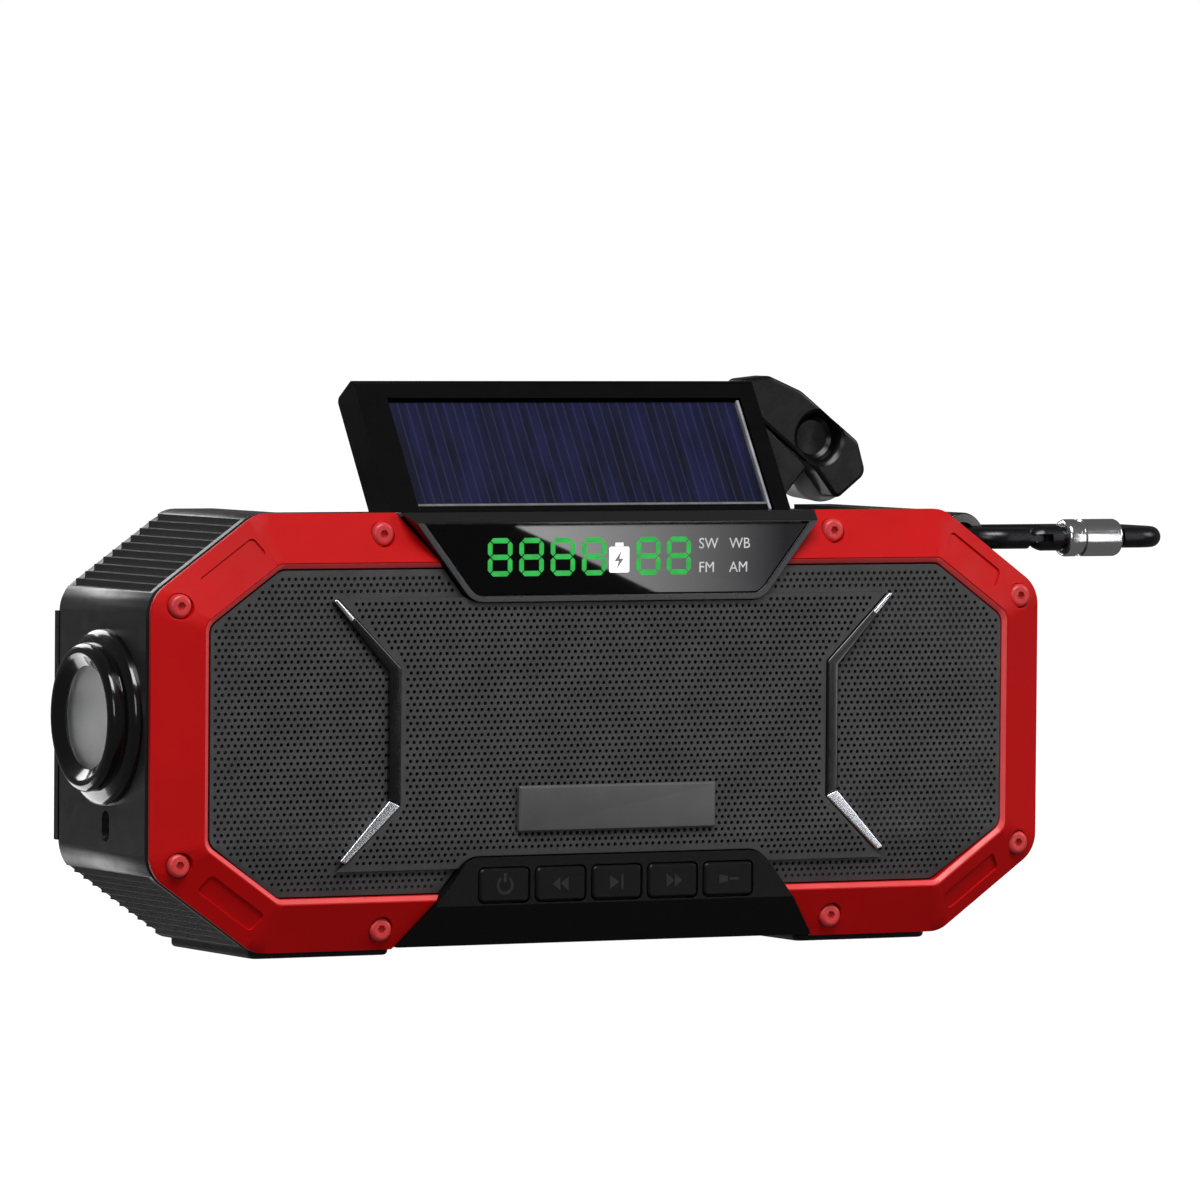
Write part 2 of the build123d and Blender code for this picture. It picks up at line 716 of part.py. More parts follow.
def torch_profile(points):
    """A closed profile turned about the torch's axis; each point is (distance out from the end face, radius)."""
    with BuildPart() as turned:
        with BuildSketch(Plane((face_x, deep(torch_depth), torch_z), x_dir=(-1, 0, 0), z_dir=(0, 1, 0))):
            with BuildLine():
                Polyline(*points, close=True)
            make_face()
        revolve(axis=Axis((face_x, deep(torch_depth), torch_z), (1, 0, 0)))
    return turned.part


torch_bezel = torch_profile([(0, 17.7), (1.5, 17.5), (2.3, 16.6), (2.6, 15.0), (4.5, 14.9), (5.4, 14.3), (5.6, 12.6),
                             (4.2, 11.6), (3.8, 11.1), (1.8, 11.1), (1.8, 10.2), (-4.2, 10.2), (-4.2, torch_hole_r - 0.05),
                             (0, torch_hole_r - 0.05)])
save(torch_bezel, "torch_bezel")
torch_lens = torch_profile([(1.8, 0), (1.8, 11.05), (3.4, 11.05), (3.9, 6), (4.1, 0)])
save(torch_lens, "torch_lens")
torch_reflector = torch_profile([(1.7, 10.1), (1.7, 9.4), (-1.2, 8.4), (-5.2, 6.2), (-8.2, 3.0), (-9.6, 3.0), (-9.6, 6.4),
                                 (-5.6, 8.2), (-1.6, 10.1)])
save(torch_reflector, "torch_reflector")
torch_board = torch_profile([(-11.2, 0), (-11.2, 9.6), (-9.6, 9.6), (-9.6, 2.4), (-8.4, 2.4), (-7.4, 1.6), (-7.0, 0)])
save(torch_board, "torch_board")

# ---------------------------------------------------------------- solar panel
lip = 4.6
recess_deep = 1.6
cell_shift = 1.4  # the recess sits a little to the right
hinge_axis = Axis((0, deep(hinge_depth), hinge_z), (1, 0, 0))
tray_front = hinge_depth - panel_thick / 2
tray_back = hinge_depth + panel_reach
tray_top = hinge_z + panel_thick / 2
recess_front, recess_back = tray_front + lip + 1.4, tray_back - lip
recess_half = panel_half - lip - cell_shift / 2


def draw_recess(grow, mode=Mode.ADD):
    """The solar panel's recess, seen from above while the panel lies closed."""
    with Locations((cell_shift, deep((recess_front + recess_back) / 2))):
        Rectangle(2 * (recess_half + grow), recess_back - recess_front + 2 * grow, mode=mode)


with BuildPart() as solar_tray:
    with BuildSketch(from_side(-panel_half)):
        with Locations((deep((hinge_depth + tray_back) / 2), hinge_z)):
            Rectangle(tray_back - hinge_depth, panel_thick)
        fillet(vertices().sort_by(Axis.X)[-2:], 1.2)
        with Locations((deep(hinge_depth), hinge_z)):
            Circle(panel_thick / 2)
    extrude(amount=2 * panel_half)
    with BuildSketch(Plane.XY.offset(tray_top - recess_deep)):
        draw_recess(0)
    extrude(amount=recess_deep, mode=Mode.SUBTRACT)
    # hollow on the underside, left open
    with BuildSketch(Plane.XY.offset(hinge_z - panel_thick / 2)):
        with Locations((0, deep((recess_front + recess_back) / 2 + 1))):
            RectangleRounded(2 * panel_half - 14, recess_back - recess_front - 2, 2)
    extrude(amount=panel_thick - recess_deep - 2.0, mode=Mode.SUBTRACT)
    with BuildSketch(from_side(-panel_half)):
        with Locations((deep(hinge_depth), hinge_z)):
            Circle(hinge_pin_r)
    extrude(amount=6, mode=Mode.SUBTRACT)
    with BuildSketch(from_side(panel_half)):
        with Locations((deep(hinge_depth), hinge_z)):
            Circle(hinge_pin_r)
    extrude(amount=-6, mode=Mode.SUBTRACT)
save(solar_tray.part.rotate(hinge_axis, panel_angle), "solar_tray")

with BuildPart() as solar_cell:
    with BuildSketch(Plane.XY.offset(tray_top - recess_deep)):
        draw_recess(-0.4)
    extrude(amount=0.5)
save(solar_cell.part.rotate(hinge_axis, panel_angle), "solar_cell")

with BuildPart() as solar_cover:
    with BuildSketch(Plane.XY.offset(tray_top - recess_deep + 0.5)):
        draw_recess(-0.2)
    extrude(amount=0.6)
save(solar_cover.part.rotate(hinge_axis, panel_angle), "solar_cover")

with BuildPart() as solar_pins:
    for side in (-1, 1):
        with BuildSketch(from_side(side * (panel_half - 6))):
            with Locations((deep(hinge_depth), hinge_z)):
                Circle(hinge_pin_r)
        extrude(amount=side * 8.1)
save(solar_pins.part, "solar_pins")

# ---------------------------------------------------------------- gears
pressure = math.radians(25)
backlash = 0.05


def draw_gear(teeth):
    """A gear outline centred on the sketch's origin, with a tooth centred on its x axis."""
    pitch_r = gear_module * teeth / 2
    base_r = pitch_r * math.cos(pressure)
    tip_r = pitch_r + 0.9 * gear_module
    root_r = pitch_r - 1.15 * gear_module
    involute = math.tan(pressure) - pressure
    half_tooth = math.pi / (2 * teeth) - backlash / pitch_r
    points = []
    for tooth in range(teeth):
        middle = 2 * math.pi * tooth / teeth
        flank = [(root_r, half_tooth + involute)] if root_r < base_r else []
        start_r = max(root_r, base_r)
        for step in range(7):
            r = start_r + (tip_r - start_r) * step / 6
            angle = math.acos(min(1.0, base_r / r))
            flank.append((r, half_tooth + involute - (math.tan(angle) - angle)))
        outline = [(r, middle - half) for r, half in flank] + [(r, middle + half) for r, half in flank[::-1]]
        points += [(r * math.cos(turn), r * math.sin(turn)) for r, turn in outline]
    with BuildSketch(mode=Mode.PRIVATE) as gear:
        with BuildLine():
            Polyline(*points, close=True)
        make_face()
    add(gear.sketch)


# ---------------------------------------------------------------- crank
arm_front, arm_back = 45.6, 50.0
pin_end = arm_front + 1.6  # the knob's pin goes no further forward
knob_x, knob_z = 80.5, 96.0
dimple_x, dimple_z = 75.9, 102.0
head_outline = [(56.4, 114.2), (57.2, 109.0), (75.1, 95.2), (80.2, 88.8), (87.4, 94.4), (85.4, 101.2), (71.6, 111.8),
                (63.8, 115.0)]
knob_pin_r = 2.0
with BuildPart() as crank_arm:
    with BuildSketch(at_depth(arm_back)):
        with Locations((hub_x, hub_z)):
            Circle(10)
        draw_polygon([(25.5, 72.0), (40.5, 58.8), (73.0, 95.8), (60.5, 106.6)])
        draw_polygon(head_outline, 1.6)
    extrude(amount=arm_back - arm_front)
    with BuildSketch(at_depth(arm_back)):
        draw_polygon(head_outline, 1.6)
    extrude(amount=-2.0)
    with BuildSketch(at_depth(arm_front)):
        with Locations((dimple_x, dimple_z)):
            Circle(4.6)
    extrude(amount=-3.6, mode=Mode.SUBTRACT)
    with BuildSketch(at_depth(arm_back)):
        with Locations((hub_x, hub_z)):
            Circle(shaft_r)
    extrude(amount=10, mode=Mode.SUBTRACT)
    with BuildSketch(at_depth(arm_back + 3)):
        with Locations((knob_x, knob_z)):
            Circle(knob_pin_r)
    extrude(amount=arm_back + 3 - pin_end, mode=Mode.SUBTRACT)
save(crank_arm.part, "crank_arm")

with BuildPart() as crank_shaft:
    with BuildSketch(at_depth(49.0)):
        with Locations((hub_x, hub_z)):
            Circle(shaft_r)
    extrude(amount=49.0 - 31.2)
    with BuildSketch(at_depth(49.0)):
        with Locations((hub_x, hub_z)):
            Circle(1.0)
    extrude(amount=7, mode=Mode.SUBTRACT)
save(crank_shaft.part, "crank_shaft")

with BuildPart() as crank_screw:
    with Locations(Location((hub_x, deep(arm_back), hub_z), (-90, 0, 0))):
        Cylinder(4.0, 1.6, align=(Align.CENTER, Align.CENTER, Align.MIN))
        Cylinder(1.0, 7.0, align=(Align.CENTER, Align.CENTER, Align.MAX))
    fillet(crank_screw.faces().sort_by(Axis.Y)[-1].edges(), 1.2)
    with Locations(Location((hub_x, deep(arm_back + 1.6), hub_z), (90, 0, 0))):
        Box(4.4, 0.9, 1.6, mode=Mode.SUBTRACT)
        Box(0.9, 4.4, 1.6, mode=Mode.SUBTRACT)
save(crank_screw.part, "crank_screw")

with BuildPart() as crank_bush:
    with BuildSketch(at_depth(44.2)):
        with Locations((hub_x, hub_z)):
            Circle(bush_outer_r)
            Circle(shaft_r + running, mode=Mode.SUBTRACT)
    extrude(amount=44.2 - boss_front)
save(crank_bush.part, "crank_bush")

with BuildPart() as crank_gear:
    with BuildSketch(at_depth(35.5)):
        with Locations((hub_x, hub_z)):
            draw_gear(crank_teeth)
            Circle(shaft_r, mode=Mode.SUBTRACT)
    extrude(amount=4)
save(crank_gear.part, "crank_gear")

knob_front, knob_back = 52.4, 64.0
with BuildPart() as crank_knob:
    with BuildSketch(Plane((knob_x, deep(0), knob_z), x_dir=(1, 0, 0), z_dir=(0, 0, 1))):
        with BuildLine():
            Polyline((knob_pin_r + running, knob_front), (7.2, knob_front), (7.7, knob_front + 1), (7.1, knob_back - 2),
                     (6.3, knob_back - 0.4), (5.6, knob_back), (3.6, knob_back), (3.6, knob_back - 2.0),
                     (knob_pin_r + running, knob_back - 2.0), close=True)
        make_face()
    revolve(axis=Axis((knob_x, 0, knob_z), (0, 1, 0)))
save(crank_knob.part, "crank_knob")

with BuildPart() as knob_pin:
    with BuildSketch(at_depth(knob_back - 1.7)):
        with Locations((knob_x, knob_z)):
            Circle(knob_pin_r)
    extrude(amount=knob_back - 1.7 - pin_end)
    with BuildSketch(at_depth(knob_back - 0.7)):
        with Locations((knob_x, knob_z)):
            Circle(3.0)
    extrude(amount=1.0)
save(knob_pin.part, "knob_pin")

# ---------------------------------------------------------------- gearbox and generator
axle_r = 1.5
with BuildPart() as idler_gear:
    with BuildSketch(at_depth(30.5)):
        with Locations((hub_x, idler_z)):
            draw_gear(idler_teeth)
    extrude(amount=4)
    with BuildSketch(at_depth(36.0)):
        with Locations((hub_x, idler_z)):
            draw_gear(idler_pinion_teeth)
    extrude(amount=5.5)
    with BuildSketch(at_depth(36.0)):
        with Locations((hub_x, idler_z)):
            Circle(axle_r + running)
    extrude(amount=12, mode=Mode.SUBTRACT)
save(idler_gear.part, "idler_gear")

with BuildPart() as idler_axle:
    with BuildSketch(at_depth(41.0)):
        with Locations((hub_x, idler_z)):
            Circle(axle_r)
    extrude(amount=41.0 - plate_front)
save(idler_axle.part, "idler_axle")

stator_r = 14.0
with BuildPart() as gearbox_plate:
    with BuildSketch(at_depth(plate_back)):
        with Locations((hub_x, (post_points[0][1] + post_points[1][1]) / 2)):
            RectangleRounded(40, 58, 3)
        with Locations((hub_x, idler_z)):
            Circle(axle_r, mode=Mode.SUBTRACT)
        with Locations((hub_x, rotor_z)):
            Circle(axle_r + running, mode=Mode.SUBTRACT)
        with Locations(*post_points):
            Circle(1.1, mode=Mode.SUBTRACT)
    extrude(amount=plate_back - plate_front)
save(gearbox_plate.part, "gearbox_plate")

with BuildPart() as gearbox_screws:
    with Locations(*[Location((x, deep(plate_front), z), (90, 0, 0)) for x, z in post_points]):
        Cylinder(2.0, 1.4, align=(Align.CENTER, Align.CENTER, Align.MIN))
        Cylinder(1.0, 9.0, align=(Align.CENTER, Align.CENTER, Align.MAX))
save(gearbox_screws.part, "gearbox_screws")

with BuildPart() as generator_case:
    with BuildSketch(at_depth(plate_front)):
        with Locations((hub_x, rotor_z)):
            Circle(stator_r)
    extrude(amount=13.9)
    with BuildSketch(at_depth(plate_front)):
        with Locations((hub_x, rotor_z)):
            Circle(stator_r - 1.2)
    extrude(amount=12.3, mode=Mode.SUBTRACT)
    with BuildSketch(at_depth(plate_front)):
        with Locations((hub_x, rotor_z)):
            Circle(axle_r + running)
    extrude(amount=20, mode=Mode.SUBTRACT)
save(generator_case.part, "generator_case")

with BuildPart() as generator_coils:
    with BuildSketch(at_depth(plate_front - 0.5)):
        with Locations((hub_x, rotor_z)):
            Circle(stator_r - 1.2)
            Circle(9.4, mode=Mode.SUBTRACT)
            with PolarLocations(10.2, 6):
                Rectangle(2.4, 1.6, mode=Mode.SUBTRACT)
    extrude(amount=10.5)
save(generator_coils.part, "generator_coils")

with BuildPart() as generator_rotor:
    with BuildSketch(at_depth(31.2)):
        with Locations((hub_x, rotor_z)):
            Circle(axle_r)
    extrude(amount=31.2 - 8.4)
    with BuildSketch(at_depth(30.6)):
        with Locations((hub_x, rotor_z)):
            draw_gear(rotor_teeth)
    extrude(amount=4.6)
    with BuildSketch(at_depth(plate_front - 1.0)):
        with Locations((hub_x, rotor_z)):
            Circle(8.9)
    extrude(amount=9.5)
save(generator_rotor.part, "generator_rotor")

# ---------------------------------------------------------------- strap lug and carabiner
bar_r = 2.2
with BuildPart() as strap_lug:
    with BuildSketch(at_depth(lug_depth + lug_wide / 2)):
        with Locations((lug_x, lug_z)):
            Circle(5.2)
        draw_polygon([(88.3, lug_z), (84.6, 82.6), (98.9, 72.4), (98.7, lug_z)])
        draw_octagon(case_inset, mode=Mode.SUBTRACT)
        with Locations((lug_x, lug_z)):
            Circle(2.9, mode=Mode.SUBTRACT)
    extrude(amount=lug_wide)
save(strap_lug.part, "strap_lug")

loop_front, loop_back = 9.0, 31.0
loop_near, loop_far = lug_x, 137.5
bend_r = 6.0
shoulder_x = 104.5
pivot_x = 107.1
gate_tip = 126.9
nose_x = 127.4
tongue_thick = 1.2
gate_pin_r = 0.6
with BuildPart() as carabiner_body:
    with BuildLine():
        FilletPolyline((nose_x, deep(loop_front), lug_z), (loop_far, deep(loop_front), lug_z),
                       (loop_far, deep(loop_back), lug_z), (loop_near, deep(loop_back), lug_z),
                       (loop_near, deep(loop_front), lug_z), (shoulder_x, deep(loop_front), lug_z), radius=bend_r)
    with BuildSketch(Plane((nose_x, deep(loop_front), lug_z), z_dir=(1, 0, 0))):
        Circle(bar_r)
    sweep()
    with BuildSketch(Plane.XY.offset(lug_z - tongue_thick / 2)):
        with Locations((pivot_x, deep(loop_front))):
            Circle(1.9)
        with Locations(((shoulder_x - 1 + pivot_x) / 2, deep(loop_front))):
            Rectangle(pivot_x - shoulder_x + 1, 3.8)
    extrude(amount=tongue_thick)
    with BuildSketch(Plane.XY.offset(lug_z - 3)):
        with Locations((pivot_x, deep(loop_front))):
            Circle(gate_pin_r)
    extrude(amount=6, mode=Mode.SUBTRACT)
save(carabiner_body.part, "carabiner_body")

with BuildPart() as carabiner_gate:
    with BuildSketch(from_side(pivot_x)):
        with Locations((deep(loop_front), lug_z)):
            Circle(bar_r)
    extrude(amount=gate_tip - pivot_x)
    with Locations((pivot_x, deep(loop_front), lug_z)):
        Sphere(bar_r)
    with Locations((pivot_x, deep(loop_front), lug_z)):
        Box(5.0, 10, tongue_thick + 2 * gap, mode=Mode.SUBTRACT)
        Cylinder(gate_pin_r + running, 10, mode=Mode.SUBTRACT)
save(carabiner_gate.part, "carabiner_gate")

with BuildPart() as gate_pin:
    with Locations((pivot_x, deep(loop_front), lug_z)):
        Cylinder(gate_pin_r, 2 * bar_r - 0.2)
save(gate_pin.part, "gate_pin")

sleeve_near, sleeve_far = 113.0, 126.2
sleeve_r = 3.9
with BuildPart() as carabiner_sleeve:
    with BuildSketch(from_side(sleeve_near)):
        with Locations((deep(loop_front), lug_z)):
            Circle(sleeve_r)
    extrude(amount=sleeve_far - sleeve_near)
    chamfer(carabiner_sleeve.faces().filter_by(Axis.X).edges(), 0.5)
    with BuildSketch(from_side(sleeve_near + 3.2)):
        with Locations((deep(loop_front), lug_z)):
            Circle(sleeve_r)
            Circle(sleeve_r - 0.4, mode=Mode.SUBTRACT)
    extrude(amount=0.8, mode=Mode.SUBTRACT)
    with BuildSketch(from_side(sleeve_near)):
        with Locations((deep(loop_front), lug_z)):
            Circle(bar_r + 0.1)
    extrude(amount=20, mode=Mode.SUBTRACT)
save(carabiner_sleeve.part, "carabiner_sleeve")

# ---------------------------------------------------------------- port flap and its board
with BuildPart() as port_flap:
    with BuildSketch(at_depth(port_depth + port_long / 2 - gap)):
        with Locations((flap_x, flap_z)):
            Circle(flap_thick / 2)
        with Locations((flap_x, (flap_z + port_z + port_tall / 2 - gap) / 2)):
            Rectangle(flap_thick, port_z + port_tall / 2 - gap - flap_z)
        with Locations((flap_x + flap_thick / 2 + 0.2, 44.4)):
            Rectangle(0.8, 1.2)
    extrude(amount=port_long - 2 * gap)
    with BuildSketch(at_depth(port_depth + port_long / 2 + flap_pin_long - 0.2)):
        with Locations((flap_x, flap_z)):
            Circle(flap_pin_r)
    extrude(amount=port_long + 2 * flap_pin_long - 0.4)
save(port_flap.part, "port_flap")

with BuildPart() as port_board:
    with BuildSketch(from_side(port_board_x)):
        with Locations((deep(port_depth), port_z)):
            Rectangle(34, 13)
    extrude(amount=-1.6)
    # the two sockets are soldered to it
    for depth, wide, tall in ((port_depth - 6.5, 13.1, 5.7), (port_depth + 7.5, 9.0, 3.3)):
        with BuildSketch(from_side(port_board_x)):
            with Locations((deep(depth), port_z + 0.8)):
                RectangleRounded(wide, tall, tall / 6)
        extrude(amount=2.2)
        with BuildSketch(from_side(port_board_x + 0.4)):
            with Locations((deep(depth), port_z + 0.8)):
                RectangleRounded(wide - 0.8, tall - 0.8, tall / 8)
        extrude(amount=2.0, mode=Mode.SUBTRACT)
        with BuildSketch(from_side(port_board_x)):
            with Locations((deep(depth), port_z + 0.8 + tall / 8)):
                Rectangle(wide * 0.78, tall * 0.2)
        extrude(amount=1.8)
save(port_board.part, "port_board")

# ---------------------------------------------------------------- rear screws and feet
with BuildPart() as rear_screws:
    with Locations(*[Location((x, deep(rear_face - 1.4), z), (-90, 0, 0)) for x, z in rear_screw_points]):
        Cylinder(2.7, 1.2, align=(Align.CENTER, Align.CENTER, Align.MIN))
        Cylinder(1.25, 9.6, align=(Align.CENTER, Align.CENTER, Align.MAX))
    with Locations(*[Location((x, deep(rear_face - 0.2), z), (90, 0, 0)) for x, z in rear_screw_points]):
        Box(3.4, 0.7, 1.4, mode=Mode.SUBTRACT)
        Box(0.7, 3.4, 1.4, mode=Mode.SUBTRACT)
save(rear_screws.part, "rear_screws")

with BuildPart() as rubber_base:
    with BuildSketch(Plane.XY):
        for side in (-1, 1):
            with Locations((side * (foot_inner + foot_outer) / 2, deep(21.5))):
                RectangleRounded(foot_outer - foot_inner, 38.0, 2)
        # a strip joins the two pads near the back
        with Locations((0, deep(34))):
            Rectangle(2 * foot_inner + 4, 6)
    extrude(amount=frame_low + case_inset)
    chamfer(rubber_base.faces().sort_by(Axis.Z)[0].edges(), 0.5)
save(rubber_base.part, "rubber_base")
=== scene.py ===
"""Looks of the emergency radio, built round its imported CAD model.

Sizes are in millimetres and depths are counted from the seam between the red frame and the case, towards the
back. place() turns (x, depth, z) into metres in the row frame.
"""

import json
import math

import bmesh
import bpy
from mathutils import Matrix, Vector
from mathutils.geometry import delaunay_2d_cdt


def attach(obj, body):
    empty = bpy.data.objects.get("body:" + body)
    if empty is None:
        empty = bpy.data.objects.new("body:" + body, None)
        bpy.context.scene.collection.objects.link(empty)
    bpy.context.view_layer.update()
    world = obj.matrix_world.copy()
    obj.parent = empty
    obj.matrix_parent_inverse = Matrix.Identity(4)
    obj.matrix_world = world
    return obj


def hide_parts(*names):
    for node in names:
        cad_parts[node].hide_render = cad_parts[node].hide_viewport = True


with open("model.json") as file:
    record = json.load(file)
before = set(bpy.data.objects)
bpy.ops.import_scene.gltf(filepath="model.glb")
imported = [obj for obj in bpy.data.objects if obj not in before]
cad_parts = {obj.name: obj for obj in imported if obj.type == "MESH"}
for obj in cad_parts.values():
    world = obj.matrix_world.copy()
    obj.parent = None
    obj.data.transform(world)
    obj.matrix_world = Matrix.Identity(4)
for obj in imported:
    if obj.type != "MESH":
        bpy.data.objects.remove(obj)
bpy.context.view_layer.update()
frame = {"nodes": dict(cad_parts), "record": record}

MM = 0.001
SEAM_Y = -21.5
HALF_WIDTH = 101.5
FRAME_LOW, FRAME_HIGH = 1.4, 88.4
FRAME_TALL = FRAME_HIGH - FRAME_LOW
CORNER_RUN, CORNER_DROP = 23.0, 16.3
CORNER_ROUND = 7.0
BUMPER_INSET = 0.2

# ---------------------------------------------------------------- materials


def linear(code):
    """A display colour such as "#b81c1e" as linear red, green and blue."""
    parts = [int(code[i:i + 2], 16) / 255 for i in (1, 3, 5)]
    return [p / 12.92 if p <= 0.04045 else ((p + 0.055) / 1.055) ** 2.4 for p in parts]


def shade(color, factor):
    """A colour made lighter or darker."""
    return [min(1.0, c * factor) for c in color] + [1.0]


class Surface:
    """A material with its node tree, and short calls for the nodes used here."""

    def __init__(self, name, metallic=0.0, specular=0.5, coat=0.0, coat_rough=0.1):
        self.material = bpy.data.materials.new(name)
        self.material.use_nodes = True
        self.nodes = self.material.node_tree.nodes
        self.links = self.material.node_tree.links
        self.shader = self.nodes["Principled BSDF"]
        self.set("Metallic", metallic)
        self.set("Specular IOR Level", specular)
        self.set("Coat Weight", coat)
        self.set("Coat Roughness", coat_rough)
        self.place = self.nodes.new("ShaderNodeTexCoord").outputs["Object"]

    def set(self, socket, value):
        self.shader.inputs[socket].default_value = value

    def join(self, output, socket):
        self.links.new(output, self.shader.inputs[socket])

    def noise(self, size_mm, detail=3.0, stretch=None):
        """Noise whose features are about size_mm across, stretched along axes if asked."""
        node = self.nodes.new("ShaderNodeTexNoise")
        node.inputs["Scale"].default_value = 1 / (size_mm * MM)
        node.inputs["Detail"].default_value = detail
        source = self.place
        if stretch:
            mapping = self.nodes.new("ShaderNodeMapping")
            mapping.inputs["Scale"].default_value = stretch
            self.links.new(source, mapping.inputs["Vector"])
            source = mapping.outputs["Vector"]
        self.links.new(source, node.inputs["Vector"])
        return node.outputs["Fac"]

    def ramp(self, factor, low_color, high_color, low=0.35, high=0.65):
        node = self.nodes.new("ShaderNodeValToRGB")
        node.color_ramp.elements[0].position = low
        node.color_ramp.elements[0].color = low_color
        node.color_ramp.elements[1].position = high
        node.color_ramp.elements[1].color = high_color
        self.links.new(factor, node.inputs["Fac"])
        return node.outputs["Color"]

    def spread(self, factor, low, high):
        """factor, from about 0.3 to 0.7, brought to low and high."""
        node = self.nodes.new("ShaderNodeMapRange")
        node.inputs["From Min"].default_value = 0.3
        node.inputs["From Max"].default_value = 0.7
        node.inputs["To Min"].default_value = low
        node.inputs["To Max"].default_value = high
        self.links.new(factor, node.inputs["Value"])
        return node.outputs["Result"]

    def bump(self, height, depth_mm, strength=0.6):
        node = self.nodes.new("ShaderNodeBump")
        node.inputs["Strength"].default_value = strength
        node.inputs["Distance"].default_value = depth_mm * MM
        self.links.new(height, node.inputs["Height"])
        self.join(node.outputs["Normal"], "Normal")


def moulded(name, color, rough, vary=0.08, patch=14.0, grain=0.35, grain_depth=0.02, uneven=0.05, **kwargs):
    """Plastic or paint: soft colour patches, uneven gloss and a fine grain, with sizes in mm."""
    surface = Surface(name, **kwargs)
    patches = surface.noise(patch)
    surface.join(surface.ramp(patches, shade(color, 1 - vary), shade(color, 1 + vary)), "Base Color")
    surface.join(surface.spread(surface.noise(patch / 4), rough - uneven, rough + uneven), "Roughness")
    surface.bump(surface.noise(grain, detail=2.0), grain_depth)
    return surface.material


def brushed(name, color, rough, stretch, vary=0.15):
    """Metal with fine lines along one axis."""
    surface = Surface(name, metallic=1.0)
    lines = surface.noise(0.4, stretch=stretch)
    surface.join(surface.ramp(lines, shade(color, 1 - vary), shade(color, 1 + vary)), "Base Color")
    surface.join(surface.spread(lines, rough - 0.06, rough + 0.08), "Roughness")
    surface.bump(lines, 0.01)
    return surface.material


def clear(name, tint, rough, ior=1.46):
    """Clear plastic with faint unevenness."""
    surface = Surface(name)
    surface.set("Transmission Weight", 1.0)
    surface.set("IOR", ior)
    surface.join(surface.ramp(surface.noise(9.0), shade(tint, 0.96), shade(tint, 1.0)), "Base Color")
    surface.join(surface.spread(surface.noise(5.0), rough, rough + 0.02), "Roughness")
    return surface.material


def glowing(name, color, strength):
    """A lit sign behind glass, a little uneven."""
    surface = Surface(name)
    glow = surface.ramp(surface.noise(2.5), shade(color, 0.85), shade(color, 1.1))
    surface.join(glow, "Base Color")
    surface.join(glow, "Emission Color")
    surface.set("Emission Strength", strength)
    surface.join(surface.spread(surface.noise(1.5), 0.4, 0.5), "Roughness")
    return surface.material


def solar_silicon(name):
    """Navy silicon with pale fingers across its short side and a crystal mottling."""
    surface = Surface(name, specular=0.12)
    split = surface.nodes.new("ShaderNodeSeparateXYZ")
    surface.links.new(surface.place, split.inputs["Vector"])
    fingers = surface.nodes.new("ShaderNodeMath")
    fingers.operation = "PINGPONG"
    fingers.inputs[1].default_value = 0.5
    spaced = surface.nodes.new("ShaderNodeMath")
    spaced.operation = "MULTIPLY"
    spaced.inputs[1].default_value = 1 / (2.1 * MM)
    surface.links.new(split.outputs["X"], spaced.inputs[0])
    surface.links.new(spaced.outputs["Value"], fingers.inputs[0])
    crystal = surface.ramp(surface.noise(3.2, stretch=(1.0, 0.15, 0.15)), linear("#080a1d") + [1.0],
                           linear("#13163a") + [1.0])
    lines = surface.nodes.new("ShaderNodeValToRGB")
    lines.color_ramp.elements[0].position = 0.38
    lines.color_ramp.elements[0].color = (0, 0, 0, 1)
    lines.color_ramp.elements[1].position = 0.47
    lines.color_ramp.elements[1].color = (0.5, 0.5, 0.5, 1)
    surface.links.new(fingers.outputs["Value"], lines.inputs["Fac"])
    mix = surface.nodes.new("ShaderNodeMix")
    mix.data_type = "RGBA"
    surface.links.new(lines.outputs["Color"], mix.inputs["Factor"])
    surface.links.new(crystal, mix.inputs["A"])
    mix.inputs["B"].default_value = linear("#2b2f50") + [1.0]
    surface.join(mix.outputs["Result"], "Base Color")
    surface.join(surface.spread(surface.noise(4.0), 0.4, 0.5), "Roughness")
    surface.bump(lines.outputs["Color"], 0.03)
    return surface.material


black = linear("#161617")
CASE = moulded("case_plastic", black, 0.42)
RIB = moulded("rib_plastic", linear("#2a2a2b"), 0.36, grain=0.3, specular=0.6)
FACE = moulded("face_plastic", linear("#0b0b0c"), 0.36, grain=0.5, grain_depth=0.012, specular=0.22)
GLOSS = moulded("gloss_black", linear("#070708"), 0.16, grain=1.5, grain_depth=0.004, coat=0.5,
                coat_rough=0.05)
SATIN = moulded("satin_black", linear("#050505"), 0.45, grain=0.8, grain_depth=0.006, specular=0.05)
CRANK = moulded("crank_black", linear("#08080a"), 0.26, grain=1.5, grain_depth=0.004, specular=0.3)
RED = moulded("red_plastic", linear("#c00c0e"), 0.5, vary=0.05, patch=22.0, grain=0.45, grain_depth=0.014,
              specular=0.12)
RED_SCREW = moulded("red_screw", linear("#d23a3c"), 0.35, patch=2.0, grain=0.45, grain_depth=0.01)
# a lighter red that paints the highlight along the frame's inner bevel
RED_EDGE_HIGHLIGHT = moulded("red_edge_highlight", linear("#e2484a"), 0.4, vary=0.08, patch=12.0, grain=0.45, grain_depth=0.01)
GRILLE = moulded("grille_paint", linear("#4a4a4b"), 0.45, vary=0.12, patch=9.0, grain=0.25, metallic=0.35)
PLATE = moulded("nameplate_paint", linear("#505050"), 0.5, vary=0.05, patch=6.0)
# a grey that paints the highlight on the display bezel's chamfered rim
RIM_HIGHLIGHT = moulded("display_rim_highlight", linear("#3d3e41"), 0.3, grain=1.0, grain_depth=0.006)
SCREEN = moulded("screen_black", linear("#010102"), 0.012, vary=0.1, grain=4.0, grain_depth=0.0001,
                uneven=0.003, specular=0.4)
RUBBER = moulded("rubber", linear("#161616"), 0.75, grain=0.5, grain_depth=0.04)
